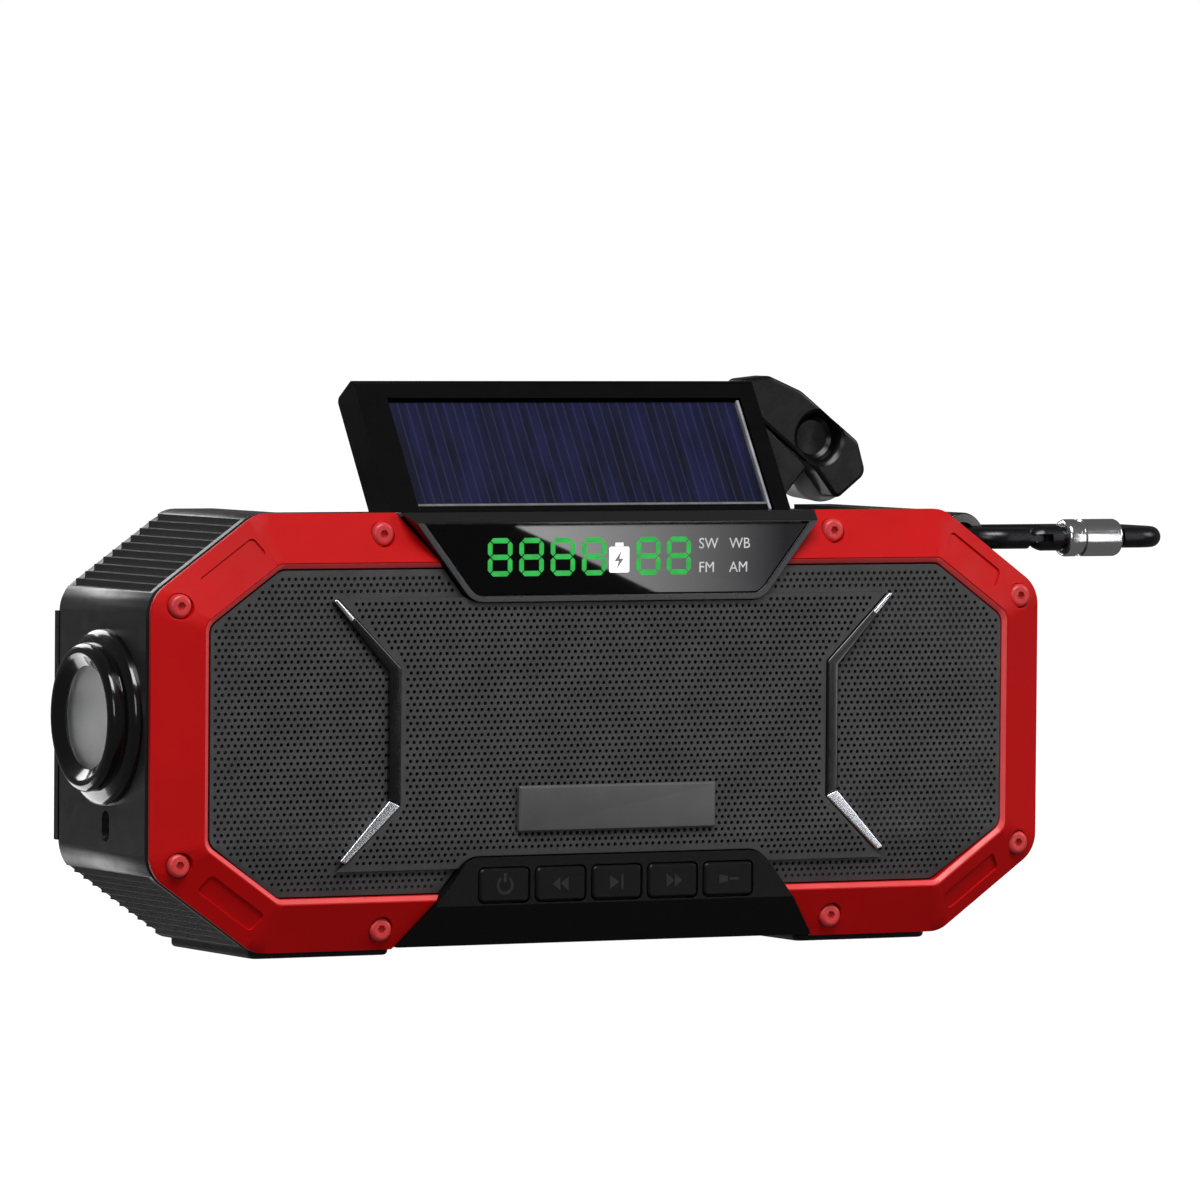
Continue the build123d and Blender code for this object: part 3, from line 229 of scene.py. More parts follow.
GRIP = moulded("grip_grey", linear("#c9c9cc"), 0.42, vary=0.05)
BOARD = moulded("board_green", [0.012, 0.09, 0.035], 0.4, vary=0.2, patch=5.0)
CREAM = moulded("gear_plastic", [0.6, 0.58, 0.52], 0.45)
FERRITE = moulded("ferrite", [0.045, 0.045, 0.048], 0.5, grain=0.4)
PAPER = moulded("cone_paper", [0.02, 0.02, 0.021], 0.8, grain=0.6, grain_depth=0.05)
WRAP = moulded("cell_wrap", [0.03, 0.1, 0.3], 0.3, vary=0.1)
COPPER = brushed("copper", [0.75, 0.35, 0.18], 0.3, (1, 8, 1))
BRASS = brushed("brass", [0.75, 0.55, 0.25], 0.3, (1, 1, 8))
STEEL = brushed("steel", [0.42, 0.42, 0.43], 0.28, (1, 8, 8))
CHROME = brushed("bright_steel", [0.88, 0.88, 0.9], 0.14, (1, 8, 8), vary=0.06)
GUNMETAL = brushed("gunmetal", [0.05, 0.05, 0.055], 0.3, (1, 6, 6))
# a grey that paints the highlight on the solar tray's front lip
LIP_HIGHLIGHT = moulded("lip_painted_highlight", linear("#6a6a6c"), 0.35, vary=0.2, patch=5.0)
# a pale grey that paints the highlight on the right inner wall of the solar recess
SOLAR_EDGE_HIGHLIGHT = moulded("solar_edge_highlight", linear("#8e8e94"), 0.4, vary=0.25, patch=6.0, specular=0.3)
SILVER = brushed("trim_silver", [0.72, 0.74, 0.82], 0.22, (6, 1, 1), vary=0.3)
REFLECTOR = brushed("reflector", [0.85, 0.85, 0.86], 0.12, (1, 6, 6), vary=0.05)
GLASS = clear("display_glass", [0.86, 0.87, 0.88], 0.02)
LENS = clear("torch_glass", [0.78, 0.78, 0.78], 0.5)
GREEN_GLOW = glowing("green_segments", linear("#239a3d"), 0.68)
WHITE_GLOW = glowing("white_signs", linear("#e8e8e8"), 0.9)
DIM_GLOW = glowing("grey_signs", linear("#b4b4b4"), 0.55)
SILICON = solar_silicon("solar_silicon")

SLOT_LOOKS = {
    "case_plastic": CASE, "red_plastic": RED, "grille_metal": GRILLE, "trim_black": GLOSS,
    "plate_grey": PLATE, "clear_lens": GLASS, "display_dark": SCREEN, "cell_navy": SILICON,
    "board_green": BOARD, "mirror_metal": REFLECTOR, "rubber_black": RUBBER, "steel": STEEL,
    "grip_grey": GRIP, "brass_bush": BRASS, "gear_plastic": CREAM, "magnet_grey": FERRITE,
    "copper_coil": COPPER, "cone_paper": PAPER, "switch_plastic": CASE, "cell_wrap": WRAP,
}
for part in frame["record"]["subparts"]:
    node = frame["nodes"][part["node"]]
    node.data.materials.clear()
    node.data.materials.append(SLOT_LOOKS[part["material_slot"]])

# ---------------------------------------------------------------- outlines, as (x, z) points, anticlockwise


def place(x, depth, z):
    """Metres in the row frame, from millimetres and a depth behind the seam."""
    return Vector((x, SEAM_Y + depth, z)) * MM


def rounded(points, radius, steps=6):
    """points with every corner rounded; radius is one number, or one for each corner."""
    radii = radius if isinstance(radius, (list, tuple)) else [radius] * len(points)
    result = []
    for i, (point, r) in enumerate(zip(points, radii)):
        corner = Vector(point)
        back = (Vector(points[i - 1]) - corner).normalized()
        ahead = (Vector(points[(i + 1) % len(points)]) - corner).normalized()
        half = back.angle(ahead) / 2
        if r <= 0 or half > math.radians(89.5):
            result.append(tuple(corner))
            continue
        reach = r / math.tan(half)
        start, end = corner + back * reach, corner + ahead * reach
        middle = corner + (back + ahead).normalized() * (r / math.sin(half))
        first, last = start - middle, end - middle
        turn = first.angle_signed(last)
        for step in range(steps + 1):
            angle = -turn * step / steps
            spot = Matrix.Rotation(angle, 2) @ first
            result.append(tuple(middle + spot))
    return result


def corner_points(inset):
    """The eight corners of the case outline, moved in by inset."""
    slope = math.hypot(CORNER_RUN, CORNER_DROP)
    run = CORNER_RUN - inset * (1 - (1 - CORNER_RUN / slope) / (CORNER_DROP / slope))
    drop = run * CORNER_DROP / CORNER_RUN
    wide = HALF_WIDTH - inset
    low, high = FRAME_LOW + inset, FRAME_HIGH - inset
    right = [(wide - run, low), (wide, low + drop), (wide, high - drop), (wide - run, high)]
    return right + [(-x, z) for x, z in reversed(right)]


def octagon(inset, radius=CORNER_ROUND, steps=6):
    return rounded(corner_points(inset), radius, steps)


def rectangle(x0, x1, z0, z1, radius=0.0):
    return rounded([(x0, z0), (x1, z0), (x1, z1), (x0, z1)], radius, 5)


def circle(x, z, radius, steps=48):
    return [(x + radius * math.cos(2 * math.pi * i / steps), z + radius * math.sin(2 * math.pi * i / steps))
            for i in range(steps)]


TRIM_WIDE, TRIM_NARROW, TRIM_HEIGHT, TRIM_ROUND = 47.4, 33.2, 17.8, 5.0
DISPLAY_EDGE = FRAME_HIGH
KEYPAD_EDGE = FRAME_LOW + 0.4
PANEL_EDGES = ((DISPLAY_EDGE, -1), (KEYPAD_EDGE, 1))


def trapezoid(edge_z, inwards, grow=0.0, past=0.0):
    """The display's or keypad's outline: wide at edge_z and narrow towards the case's middle."""
    slope = (TRIM_WIDE - TRIM_NARROW) / TRIM_HEIGHT
    spread = grow * math.hypot(1, slope)
    near, far = edge_z - inwards * past, edge_z + inwards * (TRIM_HEIGHT + grow)
    near_half, far_half = TRIM_WIDE + spread + slope * past, TRIM_NARROW + spread - slope * grow
    points = [(-near_half, near), (near_half, near), (far_half, far), (-far_half, far)]
    radii = [0, 0, TRIM_ROUND + grow, TRIM_ROUND + grow]
    if inwards < 0:
        points, radii = points[::-1], radii[::-1]
    return rounded(points, radii, 8)


# ---------------------------------------------------------------- meshes


def raw_mesh(name, points, faces):
    """A mesh object from points in metres, with its faces turned outwards."""
    mesh = bpy.data.meshes.new(name)
    mesh.from_pydata([tuple(p) for p in points], [], faces)
    work = bmesh.new()
    work.from_mesh(mesh)
    bmesh.ops.recalc_face_normals(work, faces=work.faces)
    work.to_mesh(mesh)
    work.free()
    result = bpy.data.objects.new(name, mesh)
    bpy.context.scene.collection.objects.link(result)
    return result


def walls(count, base=0):
    """The faces of a solid whose points, from base on, are two like outlines of count points."""
    faces = [tuple(range(base, base + count)), tuple(range(base + 2 * count - 1, base + count - 1, -1))]
    for i in range(count):
        here, ahead = base + i, base + (i + 1) % count
        faces.append((here, ahead, ahead + count, here + count))
    return faces


def prism(name, outline, depth0, depth1):
    """outline, in the front view, run from depth0 to depth1."""
    points = [place(x, d, z) for d in (depth0, depth1) for x, z in outline]
    return raw_mesh(name, points, walls(len(outline)))


def side_prism(name, outline, x0, x1):
    """outline as (depth, z) points, run from x0 to x1."""
    points = [place(x, d, z) for x in (x0, x1) for d, z in outline]
    return raw_mesh(name, points, walls(len(outline)))


def level_prism(name, outline, z0, z1):
    """outline as (x, depth) points, run from z0 to z1."""
    points = [place(x, d, z) for z in (z0, z1) for x, d in outline]
    return raw_mesh(name, points, walls(len(outline)))


def ring_loft(name, rings, closed=True):
    """A skin through rings of as many points each: a closed band, or open and capped at both ends."""
    count = len(rings[0])
    points = [p for ring in rings for p in ring]
    faces = []
    for k in range(len(rings) if closed else len(rings) - 1):
        a, b = k * count, (k + 1) % len(rings) * count
        faces += [(a + i, a + (i + 1) % count, b + (i + 1) % count, b + i) for i in range(count)]
    if not closed:
        faces += [tuple(range(count)), tuple(range(len(points) - count, len(points)))]
    return raw_mesh(name, points, faces)


def turned(name, profile, centre, axis, steps=96, closed=True):
    """profile, as (distance along axis, radius) in mm, turned about a line through centre."""
    axis = Vector(axis).normalized()
    side = axis.orthogonal().normalized()
    other = axis.cross(side)
    rings = []
    for along, radius in profile:
        ring = []
        for step in range(steps):
            angle = 2 * math.pi * step / steps
            spoke = side * math.cos(angle) + other * math.sin(angle)
            ring.append(centre + (axis * along + spoke * radius) * MM)
        rings.append(ring)
    return ring_loft(name, rings, closed)


def tube(name, path, radius, steps=24):
    """A round bar along path, a list of points in metres that lie in one level plane."""
    rings = []
    up = Vector((0, 0, 1))
    last = len(path) - 1
    for i, point in enumerate(path):
        ahead, behind = path[min(i + 1, last)], path[max(i - 1, 0)]
        side = (ahead - behind).normalized().cross(up)
        angles = [2 * math.pi * step / steps for step in range(steps)]
        rings.append([point + (side * math.cos(a) + up * math.sin(a)) * radius * MM for a in angles])
    return ring_loft(name, rings, closed=False)


def add_bevel(obj, width, segments, angle=30.0):
    """A bevel modifier, width in mm, on edges that turn by more than angle."""
    modifier = obj.modifiers.new("bevel", "BEVEL")
    modifier.width = width * MM
    modifier.segments = segments
    modifier.limit_method = "ANGLE"
    modifier.angle_limit = math.radians(angle)
    return modifier


def applied(obj):
    """obj with its modifiers made part of its mesh."""
    bpy.context.view_layer.update()
    shown = obj.evaluated_get(bpy.context.evaluated_depsgraph_get())
    mesh = bpy.data.meshes.new_from_object(shown)
    obj.modifiers.clear()
    obj.data = mesh
    return obj


def carve(obj, cutters, operation="DIFFERENCE"):
    """Cuts each cutter from obj, or joins it on, and removes the cutter."""
    for cutter in cutters:
        boolean = obj.modifiers.new("carve", "BOOLEAN")
        boolean.operation = operation
        boolean.solver = "EXACT"
        boolean.object = cutter
        applied(obj)
        bpy.data.objects.remove(cutter)
    return obj


def dress(obj, material, body="case", stands_for=(), bevel=0.0, segments=2, sharp=35.0):
    """Finishes a piece: rounds its edges, smooths what is round, and puts it on its body."""
    if bevel:
        add_bevel(obj, bevel, segments)
        applied(obj)
    work = bmesh.new()
    work.from_mesh(obj.data)
    bmesh.ops.dissolve_degenerate(work, edges=work.edges, dist=1e-7)
    for face in work.faces:
        face.smooth = True
    for edge in work.edges:
        if len(edge.link_faces) == 2 and edge.calc_face_angle(0) > math.radians(sharp):
            edge.smooth = False
    work.to_mesh(obj.data)
    work.free()
    weighted = obj.modifiers.new("normals", "WEIGHTED_NORMAL")
    weighted.keep_sharp = True
    applied(obj)
    obj.data.materials.clear()
    obj.data.materials.append(material)
    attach(obj, body)
    if stands_for:
        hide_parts(*stands_for)
    return obj


def soften(name, width):
    """Gives a CAD node small rounded edges, and its flat faces back as single faces, with modifiers only."""
    node = frame["nodes"][name]
    node.modifiers.new("weld", "WELD").merge_threshold = 1e-6
    flat = node.modifiers.new("flat", "DECIMATE")
    flat.decimate_type = "DISSOLVE"
    flat.angle_limit = math.radians(0.5)
    add_bevel(node, width, 2).harden_normals = True


# ---------------------------------------------------------------- case, frame and what stays from the CAD

# the width of each node's rounded edges, in mm
SOFT_EDGES = {
    "main_housing": 0.2, "rear_cover": 0.5, "frame_left": 0.6, "frame_right": 0.6, "frame_screws": 0.15,
    "nameplate": 0.15, "display_bezel": 0.2, "keypad_panel": 0.4, "strap_lug": 0.6, "solar_tray": 0.5,
    "crank_screw": 0.2, "crank_knob": 0.5, "rear_screws": 0.2, "rubber_base": 0.4, "port_flap": 0.3,
    "key_power": 0.2, "key_previous": 0.2, "key_play": 0.2, "key_next": 0.2, "key_light": 0.2,
}
for name, width in SOFT_EDGES.items():
    soften(name, width)


def repaint(material, *names):
    """Puts another look on CAD nodes than their slot has."""
    for name in names:
        frame["nodes"][name].material_slots[0].material = material


repaint(RIB, "main_housing")
repaint(FACE, "keypad_panel", "key_power", "key_previous", "key_play", "key_next", "key_light")
repaint(CASE, "rear_cover", "port_flap")
repaint(GLOSS, "display_bezel", "strap_lug")
repaint(SATIN, "solar_tray")
repaint(RED_SCREW, "frame_screws")

# a paler band along the frame's inner edge: a painted highlight, a lighter red where the inner bevel catches
# the light
band_section = [(9.9, -5.13), (10.85, -4.5), (10.85, -3.4), (9.9, -3.4)]
band_rings = [[place(x, depth, z) for x, z in octagon(inset, 3)] for inset, depth in band_section]
band = ring_loft("frame_inner_highlight", band_rings)
band_gaps = [trapezoid(edge, inwards, grow=0.3, past=5) for edge, inwards in PANEL_EDGES]
carve(band, [prism("cut", outline, -8, 0) for outline in band_gaps])
dress(band, RED_EDGE_HIGHLIGHT, bevel=0.12)

# ---------------------------------------------------------------- grille

GRILLE_FRONT, GRILLE_PROUD = -4.6, -5.4
SHEET = 0.5
PLATEAU = 11.2
HOLE_PITCH = 1.45
HOLE_RADIUS = 0.4
HOLE_MARGIN = 0.9
RAISED_RIGHT = [(62.4, 17.4), (48.6, 30.2), (48.6, 57.8), (62.6, 71.6)]
BEND_Z, BEND_TALL, BEND_DROP = 23.0, 10.5, 1.4


def inside(point, outline):
    """True if point is inside the closed outline."""
    x, z = point
    odd = False
    for (x0, z0), (x1, z1) in zip(outline, outline[1:] + outline[:1]):
        if (z0 > z) != (z1 > z) and x < x0 + (z - z0) / (z1 - z0) * (x1 - x0):
            odd = not odd
    return odd


def clear_of(point, outline, distance):
    """True if point is at least distance from every side of outline."""
    spot = Vector(point)
    for start, end in zip(outline, outline[1:] + outline[:1]):
        a, b = Vector(start), Vector(end)
        along = max(0.0, min(1.0, (spot - a).dot(b - a) / max((b - a).length_squared, 1e-9)))
        if (spot - a - (b - a) * along).length < distance:
            return False
    return True


def perforated(name, outline, gaps, front):
    """A sheet with staggered round holes, its lower strip bent back."""
    holes = []
    row_pitch = HOLE_PITCH * math.sqrt(0.75)
    rows = int(FRAME_TALL / row_pitch)
    for row in range(rows):
        z = FRAME_LOW + row * row_pitch
        for column in range(int(2 * HALF_WIDTH / HOLE_PITCH)):
            x = -HALF_WIDTH + (column + 0.5 * (row % 2)) * HOLE_PITCH
            if not inside((x, z), outline) or not clear_of((x, z), outline, HOLE_MARGIN):
                continue
            if all(not inside((x, z), gap) and clear_of((x, z), gap, HOLE_MARGIN) for gap in gaps):
                holes.append(circle(x, z, HOLE_RADIUS, 8))
    points, faces = [], []
    for loop in [outline] + gaps + holes:
        faces.append(list(range(len(points), len(points) + len(loop))))
        points += [Vector(p) for p in loop]
    flat, _, triangles, _, _, sources = delaunay_2d_cdt(points, [], faces, 1, 1e-5, True)
    kept = [face for face, source in zip(triangles, sources) if list(source) == [0]]
    used = sorted({i for face in kept for i in face})
    new_index = {old: new for new, old in enumerate(used)}
    corners = []
    for x, z in (flat[i] for i in used):
        bend = BEND_DROP * max(0.0, (BEND_Z - z) / BEND_TALL) ** 1.5
        corners.append(place(x, front + bend, z))
    sheet = raw_mesh(name, corners, [tuple(new_index[i] for i in face) for face in kept])
    solid = sheet.modifiers.new("thickness", "SOLIDIFY")
    solid.thickness = SHEET * MM
    front_up = sheet.data.polygons[0].normal.y < 0
    solid.offset = -1.0 if front_up else 1.0
    applied(sheet)
    return sheet


def mirrored(points):
    """The points on the other side of the middle, in the opposite order."""
    return [(-x, z) for x, z in reversed(points)]


panel_gaps = [trapezoid(edge, inwards, grow=0.3, past=3) for edge, inwards in PANEL_EDGES]
raised = RAISED_RIGHT + mirrored(RAISED_RIGHT)
raised = raised[-1:] + raised[:-1]
sides = perforated("grille_side_panels", octagon(PLATEAU, 3, 4), panel_gaps + [raised], GRILLE_FRONT)
centre = perforated("grille_centre_panel", raised, panel_gaps, GRILLE_PROUD)
for piece in (sides, centre):
    dress(piece, GRILLE, stands_for=["speaker_grille"])

# ---------------------------------------------------------------- chevrons

CHEVRON_BACK, BAR_FRONT = GRILLE_FRONT + 0.1, -5.9
BAR_OUTLINE = [(48.7, 30.4), (51.3, 31.6), (51.3, 56.9), (63.9, 71.0), (62.8, 71.5), (48.7, 57.7)]
FACETS = {
    "blade": ([(48.7, 30.2), (51.2, 31.4), (62.2, 19.5), (60.8, 19.0)], -5.8),
    "glint": ([(59.2, 67.6), (60.0, 66.9), (63.9, 71.2), (63.2, 71.6)], -6.0),
}

for node in ("chevron_left", "chevron_right"):
    on_left = node == "chevron_left"
    bar_outline = mirrored(BAR_OUTLINE) if on_left else BAR_OUTLINE
    bar = prism(node + "_bar", bar_outline, CHEVRON_BACK, BAR_FRONT)
    dress(bar, GLOSS, stands_for=[node], bevel=0.35, segments=3)
    for label, (outline, front) in FACETS.items():
        facet = prism(f"{node}_{label}", mirrored(outline) if on_left else outline, CHEVRON_BACK, front)
        dress(facet, SILVER, bevel=0.3, segments=3)

# ---------------------------------------------------------------- display

LENS_FRONT = -5.95
# a grey ring round the display: a painted highlight where the bezel's chamfered rim catches the light
rim_outer = trapezoid(DISPLAY_EDGE, -1, past=-2.0)
rim_inner = trapezoid(DISPLAY_EDGE, -1, grow=-1.1, past=-2.0)
rim_loop = [rim_outer[-1]] + rim_outer[:-1] + rim_inner[:-1][::-1] + [rim_inner[-1]]
rim = prism("display_rim_highlight", rim_loop, -6.36, -6.1)
dress(rim, RIM_HIGHLIGHT, bevel=0.1)

lens_outline = trapezoid(DISPLAY_EDGE, -1, grow=-1.45, past=-2.4)
lens = prism("display_glass", lens_outline, LENS_FRONT, -4.65)
dress(lens, SCREEN, stands_for=["display_lens"], bevel=0.1)

SIGN_BACK, SIGN_FRONT = LENS_FRONT + 0.02, LENS_FRONT - 0.03


def signs(name, outlines, look):
    """One piece made of flat lit signs that stand just proud of the glass."""
    points, faces = [], []
    for outline in outlines:
        faces += walls(len(outline), len(points))
        points += [place(x, d, z) for d in (SIGN_BACK, SIGN_FRONT) for x, z in outline]
    piece = dress(raw_mesh(name, points, faces), look)
    return piece


def bar_between(x0, z0, x1, z1, width):
    """A bar with pointed ends, as in a seven-segment digit."""
    start, end = Vector((x0, z0)), Vector((x1, z1))
    ahead = (end - start).normalized() * width / 2
    side = Vector((-ahead.y, ahead.x))
    spots = [start, start + ahead + side, end - ahead + side, end, end - ahead - side, start + ahead - side]
    return [tuple(s) for s in spots]


DIGIT_WIDE, DIGIT_LOW, DIGIT_HIGH = 4.5, 76.2, 82.8
STROKE, STROKE_GAP = 1.05, 0.15
digit_middle = (DIGIT_LOW + DIGIT_HIGH) / 2
segments = []
for left in (-29.2, -22.1, -15.0, -7.9, 4.5, 11.5):
    right = left + DIGIT_WIDE
    for z in (DIGIT_LOW, digit_middle, DIGIT_HIGH):
        segments.append(bar_between(left + STROKE_GAP, z, right - STROKE_GAP, z, STROKE))
    for x in (left, right):
        segments.append(bar_between(x, DIGIT_LOW + STROKE_GAP, x, digit_middle - STROKE_GAP, STROKE))
        segments.append(bar_between(x, digit_middle + STROKE_GAP, x, DIGIT_HIGH - STROKE_GAP, STROKE))
signs("display_digits", segments, GREEN_GLOW)

battery = [rectangle(-2.2, 2.4, 76.2, 81.4, 0.4), rectangle(-0.8, 1.0, 81.5, 82.2)]
signs("display_battery", battery, WHITE_GLOW)
bolt = [(0.6, 80.6), (-1.0, 78.5), (0.0, 78.5), (-0.5, 76.9), (1.1, 79.0), (0.1, 79.0)]
bolt_piece = prism("display_bolt", bolt, SIGN_FRONT, SIGN_FRONT - 0.03)
dress(bolt_piece, SCREEN)


def lettering(name, text, x, z, height, look):
    """Raised generic lettering that faces the front, its lower left corner at x and z."""
    curve = bpy.data.curves.new(name, "FONT")
    curve.body = text
    curve.size = height * 1.38 * MM
    curve.extrude = 0.03 * MM
    curve.resolution_u = 3
    label = bpy.data.objects.new(name, curve)
    bpy.context.scene.collection.objects.link(label)
    bpy.context.view_layer.update()
    mesh = bpy.data.meshes.new_from_object(label)
    bpy.data.objects.remove(label)
    upright = Matrix.Rotation(math.radians(90), 4, "X")
    mesh.transform(Matrix.Translation(place(x, LENS_FRONT, z)) @ upright)
    letters = bpy.data.objects.new(name, mesh)
    bpy.context.scene.collection.objects.link(letters)
    dress(letters, look)


for text, x, z in (("SW", 18.3, 80.9), ("WB", 25.4, 80.9), ("FM", 18.3, 76.1), ("AM", 25.4, 76.1)):
    lettering(f"display_label_{text}", text, x, z, 2.2, DIM_GLOW)

# ---------------------------------------------------------------- key symbols

KEY_Z = 14.0
KEY_PITCH = 12.8
SYMBOL_BACK, SYMBOL_FRONT = -6.4, -6.58
RING_OUTER, RING_INNER, RING_GAP = 1.9, 1.35, 145
# each key's place in the row, and its symbol's outlines about the key's middle
KEY_SYMBOLS = {
    "key_power": (-2, [[(0.0, 0.6), (0.35, 0.6), (0.35, 2.4), (-0.35, 2.4), (-0.35, 0.6)]]),
    "key_previous": (-1, [[(-0.2, 0), (1.6, -1.4), (1.6, 1.4)], [(-2.0, 0), (-0.3, -1.4), (-0.3, 1.4)]]),
    "key_play": (0, [[(-1.8, -1.4), (0.4, 0), (-1.8, 1.4)],
                     [(0.8, -1.4), (1.3, -1.4), (1.3, 1.4), (0.8, 1.4)]]),
    "key_next": (1, [[(0.2, 0), (-1.6, 1.4), (-1.6, -1.4)], [(2.0, 0), (0.3, 1.4), (0.3, -1.4)]]),
    "key_light": (2, [[(-2.2, -0.9), (-0.2, -0.5), (-0.2, 0.5), (-2.2, 0.9)],
                      [(0.3, -0.25), (2.2, -0.25), (2.2, 0.25), (0.3, 0.25)]]),
}
SYMBOL = moulded("symbol_print", linear("#1c1c1d"), 0.4, patch=2.0)
for key, (position, outlines) in KEY_SYMBOLS.items():
    for index, outline in enumerate(outlines):
        moved = [(position * KEY_PITCH + x, KEY_Z + z) for x, z in outline]
        piece = prism(f"{key}_symbol_{index}", moved, SYMBOL_BACK, SYMBOL_FRONT)
        dress(piece, SYMBOL, body=key)
outward = [math.radians(degrees) for degrees in range(-RING_GAP, RING_GAP + 1, 10)]
arc = [(RING_OUTER * math.sin(a), -RING_OUTER * math.cos(a)) for a in outward]
arc += [(RING_INNER * math.sin(a), -RING_INNER * math.cos(a)) for a in outward[::-1]]
moved = [(-2 * KEY_PITCH + x, KEY_Z + z) for x, z in arc]
power_ring = prism("key_power_ring", moved, SYMBOL_BACK, SYMBOL_FRONT)
dress(power_ring, SYMBOL, body="key_power")

# ---------------------------------------------------------------- torch

TORCH = place(-HALF_WIDTH + BUMPER_INSET, 20.5, 47.6)
OUT = (-1, 0, 0)
bezel_profile = [
    (0, 17.6), (1.0, 17.5), (1.6, 17.2), (2.1, 16.5), (2.4, 15.4), (2.6, 14.8), (4.3, 14.8),
    (4.9, 14.6), (5.3, 14.1), (5.55, 13.4), (5.5, 12.7), (5.1, 12.2), (4.2, 11.0), (3.8, 10.3),
    (3.5, 10.3), (3.45, 11.1), (1.8, 11.1), (1.8, 10.2), (-4.2, 10.2), (-4.2, 12.95), (0, 12.95),
]
bezel = turned("torch_ring", bezel_profile, TORCH, OUT)
dress(bezel, GLOSS, stands_for=["torch_bezel"], sharp=40)
dome = [(4.05 - 0.7 * (r / 10.0) ** 2, r) for r in (0.05, 2.5, 5.0, 7.5, 10.0)]
window_profile = [(1.85, 0.05), (1.85, 11.0), (3.05, 11.0)] + dome[::-1]
lens = turned("torch_window", window_profile, TORCH, OUT, closed=False)
dress(lens, LENS, stands_for=["torch_lens"], sharp=40)
bowl = [(-8.8 + 10.4 * (i / 12) ** 2, 2.9 + 6.6 * i / 12) for i in range(13)]
back = [(a - 0.5, r + 0.6) for a, r in bowl[:-1]]
bowl_profile = bowl + [(1.6, 10.1), (-0.2, 10.1)] + back[:-1][::-1]
reflector = turned("torch_bowl", bowl_profile, TORCH, OUT)
dress(reflector, REFLECTOR, stands_for=["torch_reflector"], sharp=40)

# ---------------------------------------------------------------- solar panel, modelled closed and then opened

HINGE_DEPTH, HINGE_Z = 7.4, 84.4
PANEL_ANGLE = 57.0
TRAY_TOP = 88.4
RECESS_FLOOR = TRAY_TOP - 1.6
RECESS_FRONT, RECESS_BACK = 9.4, 36.3
RECESS_X, RECESS_HALF = 1.4, 40.7
CELL_FRONT = 11.6


def on_panel(obj):
    """Swings a piece modelled on the closed panel to where the panel stands."""
    hinge = place(0, HINGE_DEPTH, HINGE_Z)
    swing = Matrix.Rotation(math.radians(PANEL_ANGLE), 4, "X")
    obj.data.transform(Matrix.Translation(hinge) @ swing @ Matrix.Translation(-hinge))
    return obj


def plate(name, x0, x1, depth0, depth1, z0, z1):
    """A flat plate on the closed panel."""
    outline = [(depth0, z0), (depth1, z0), (depth1, z1), (depth0, z1)]
    return on_panel(side_prism(name, outline, x0, x1))


left, right = RECESS_X - RECESS_HALF, RECESS_X + RECESS_HALF
cell = plate("solar_silicon_sheet", left + 0.4, right - 1.2, CELL_FRONT, RECESS_BACK - 0.4,
             RECESS_FLOOR, RECESS_FLOOR + 0.45)
dress(cell, SILICON, body="solar_panel", stands_for=["solar_cell"])
# a pale strip at the recess's right side, in place of the clear cover: a painted highlight where that edge
# catches the light
edge_right = plate("solar_edge_right", right - 0.95, right - 0.25, RECESS_FRONT + 0.3,
                   RECESS_BACK - 0.3, RECESS_FLOOR, RECESS_FLOOR + 1.35)
dress(edge_right, SOLAR_EDGE_HIGHLIGHT, body="solar_panel", stands_for=["solar_cover"], bevel=0.3, segments=3)
lip_fill = plate("solar_lip_fill", left + 0.1, right - 1.1, RECESS_FRONT + 0.1, CELL_FRONT - 0.1,
                 RECESS_FLOOR, TRAY_TOP - 0.15)
dress(lip_fill, SATIN, body="solar_panel", bevel=0.2)
# a thin grey strip on the tray's front lip: a painted highlight where the lip's edge catches the light
lip_line = plate("solar_lip_highlight", left + 0.1, right - 1.1, CELL_FRONT - 0.8, CELL_FRONT - 0.25,
                 TRAY_TOP - 0.3, TRAY_TOP)
dress(lip_line, LIP_HIGHLIGHT, body="solar_panel", bevel=0.1)

# ---------------------------------------------------------------- crank

HUB = (33.0, 65.4)
HUB_RADIUS = 10.0
ARM_FRONT, ARM_BACK, HEAD_BACK = 45.6, 50.0, 52.0
ARM_END = [(73.0, 95.8), (60.5, 106.6)]
HEAD = [(56.4, 114.2), (57.2, 109.0), (75.1, 95.2), (80.2, 88.8), (87.4, 94.4), (85.4, 101.2), (71.6, 111.8),
        (63.8, 115.0)]
HEAD_ROUNDS = [1.6, 2.0, 6.0, 1.6, 2.4, 2.4, 5.0, 3.0]
DIMPLE = (75.9, 102.0)
KNOB = (80.5, 96.0)
PIN_END = 1.6

hub_arc = [(HUB[0] + HUB_RADIUS * math.cos(a), HUB[1] + HUB_RADIUS * math.sin(a))
           for a in (math.radians(138.7 + 180 * i / 24) for i in range(25))]
arm = prism("crank_handle", hub_arc + ARM_END, ARM_FRONT, ARM_BACK)
add_bevel(arm, 0.7, 3)
applied(arm)
head = prism("crank_head", rounded(HEAD, HEAD_ROUNDS, 6), ARM_FRONT, HEAD_BACK)
add_bevel(head, 0.9, 4, 60)
applied(head)
BACKWARDS = (0, 1, 0)
dimple_profile = [(-1.0, 6.6), (0.0, 6.2), (0.35, 5.6), (0.8, 5.1), (1.5, 4.75), (3.0, 4.4), (3.6, 3.6),
                  (3.9, 0.1)]
holes = [
    turned(name, profile, place(x, ARM_FRONT, z), BACKWARDS, steps, closed=False)
    for name, profile, (x, z), steps in (
        ("dimple", dimple_profile, DIMPLE, 96),
        ("shaft_hole", [(-1, 2.5), (3.4, 2.5)], HUB, 48),
        ("pin_hole", [(PIN_END, 2.0), (9, 2.0)], KNOB, 48),
    )
]
carve(arm, [head], "UNION")
carve(arm, holes)
dress(arm, CRANK, body="crank", stands_for=["crank_arm"], sharp=28)

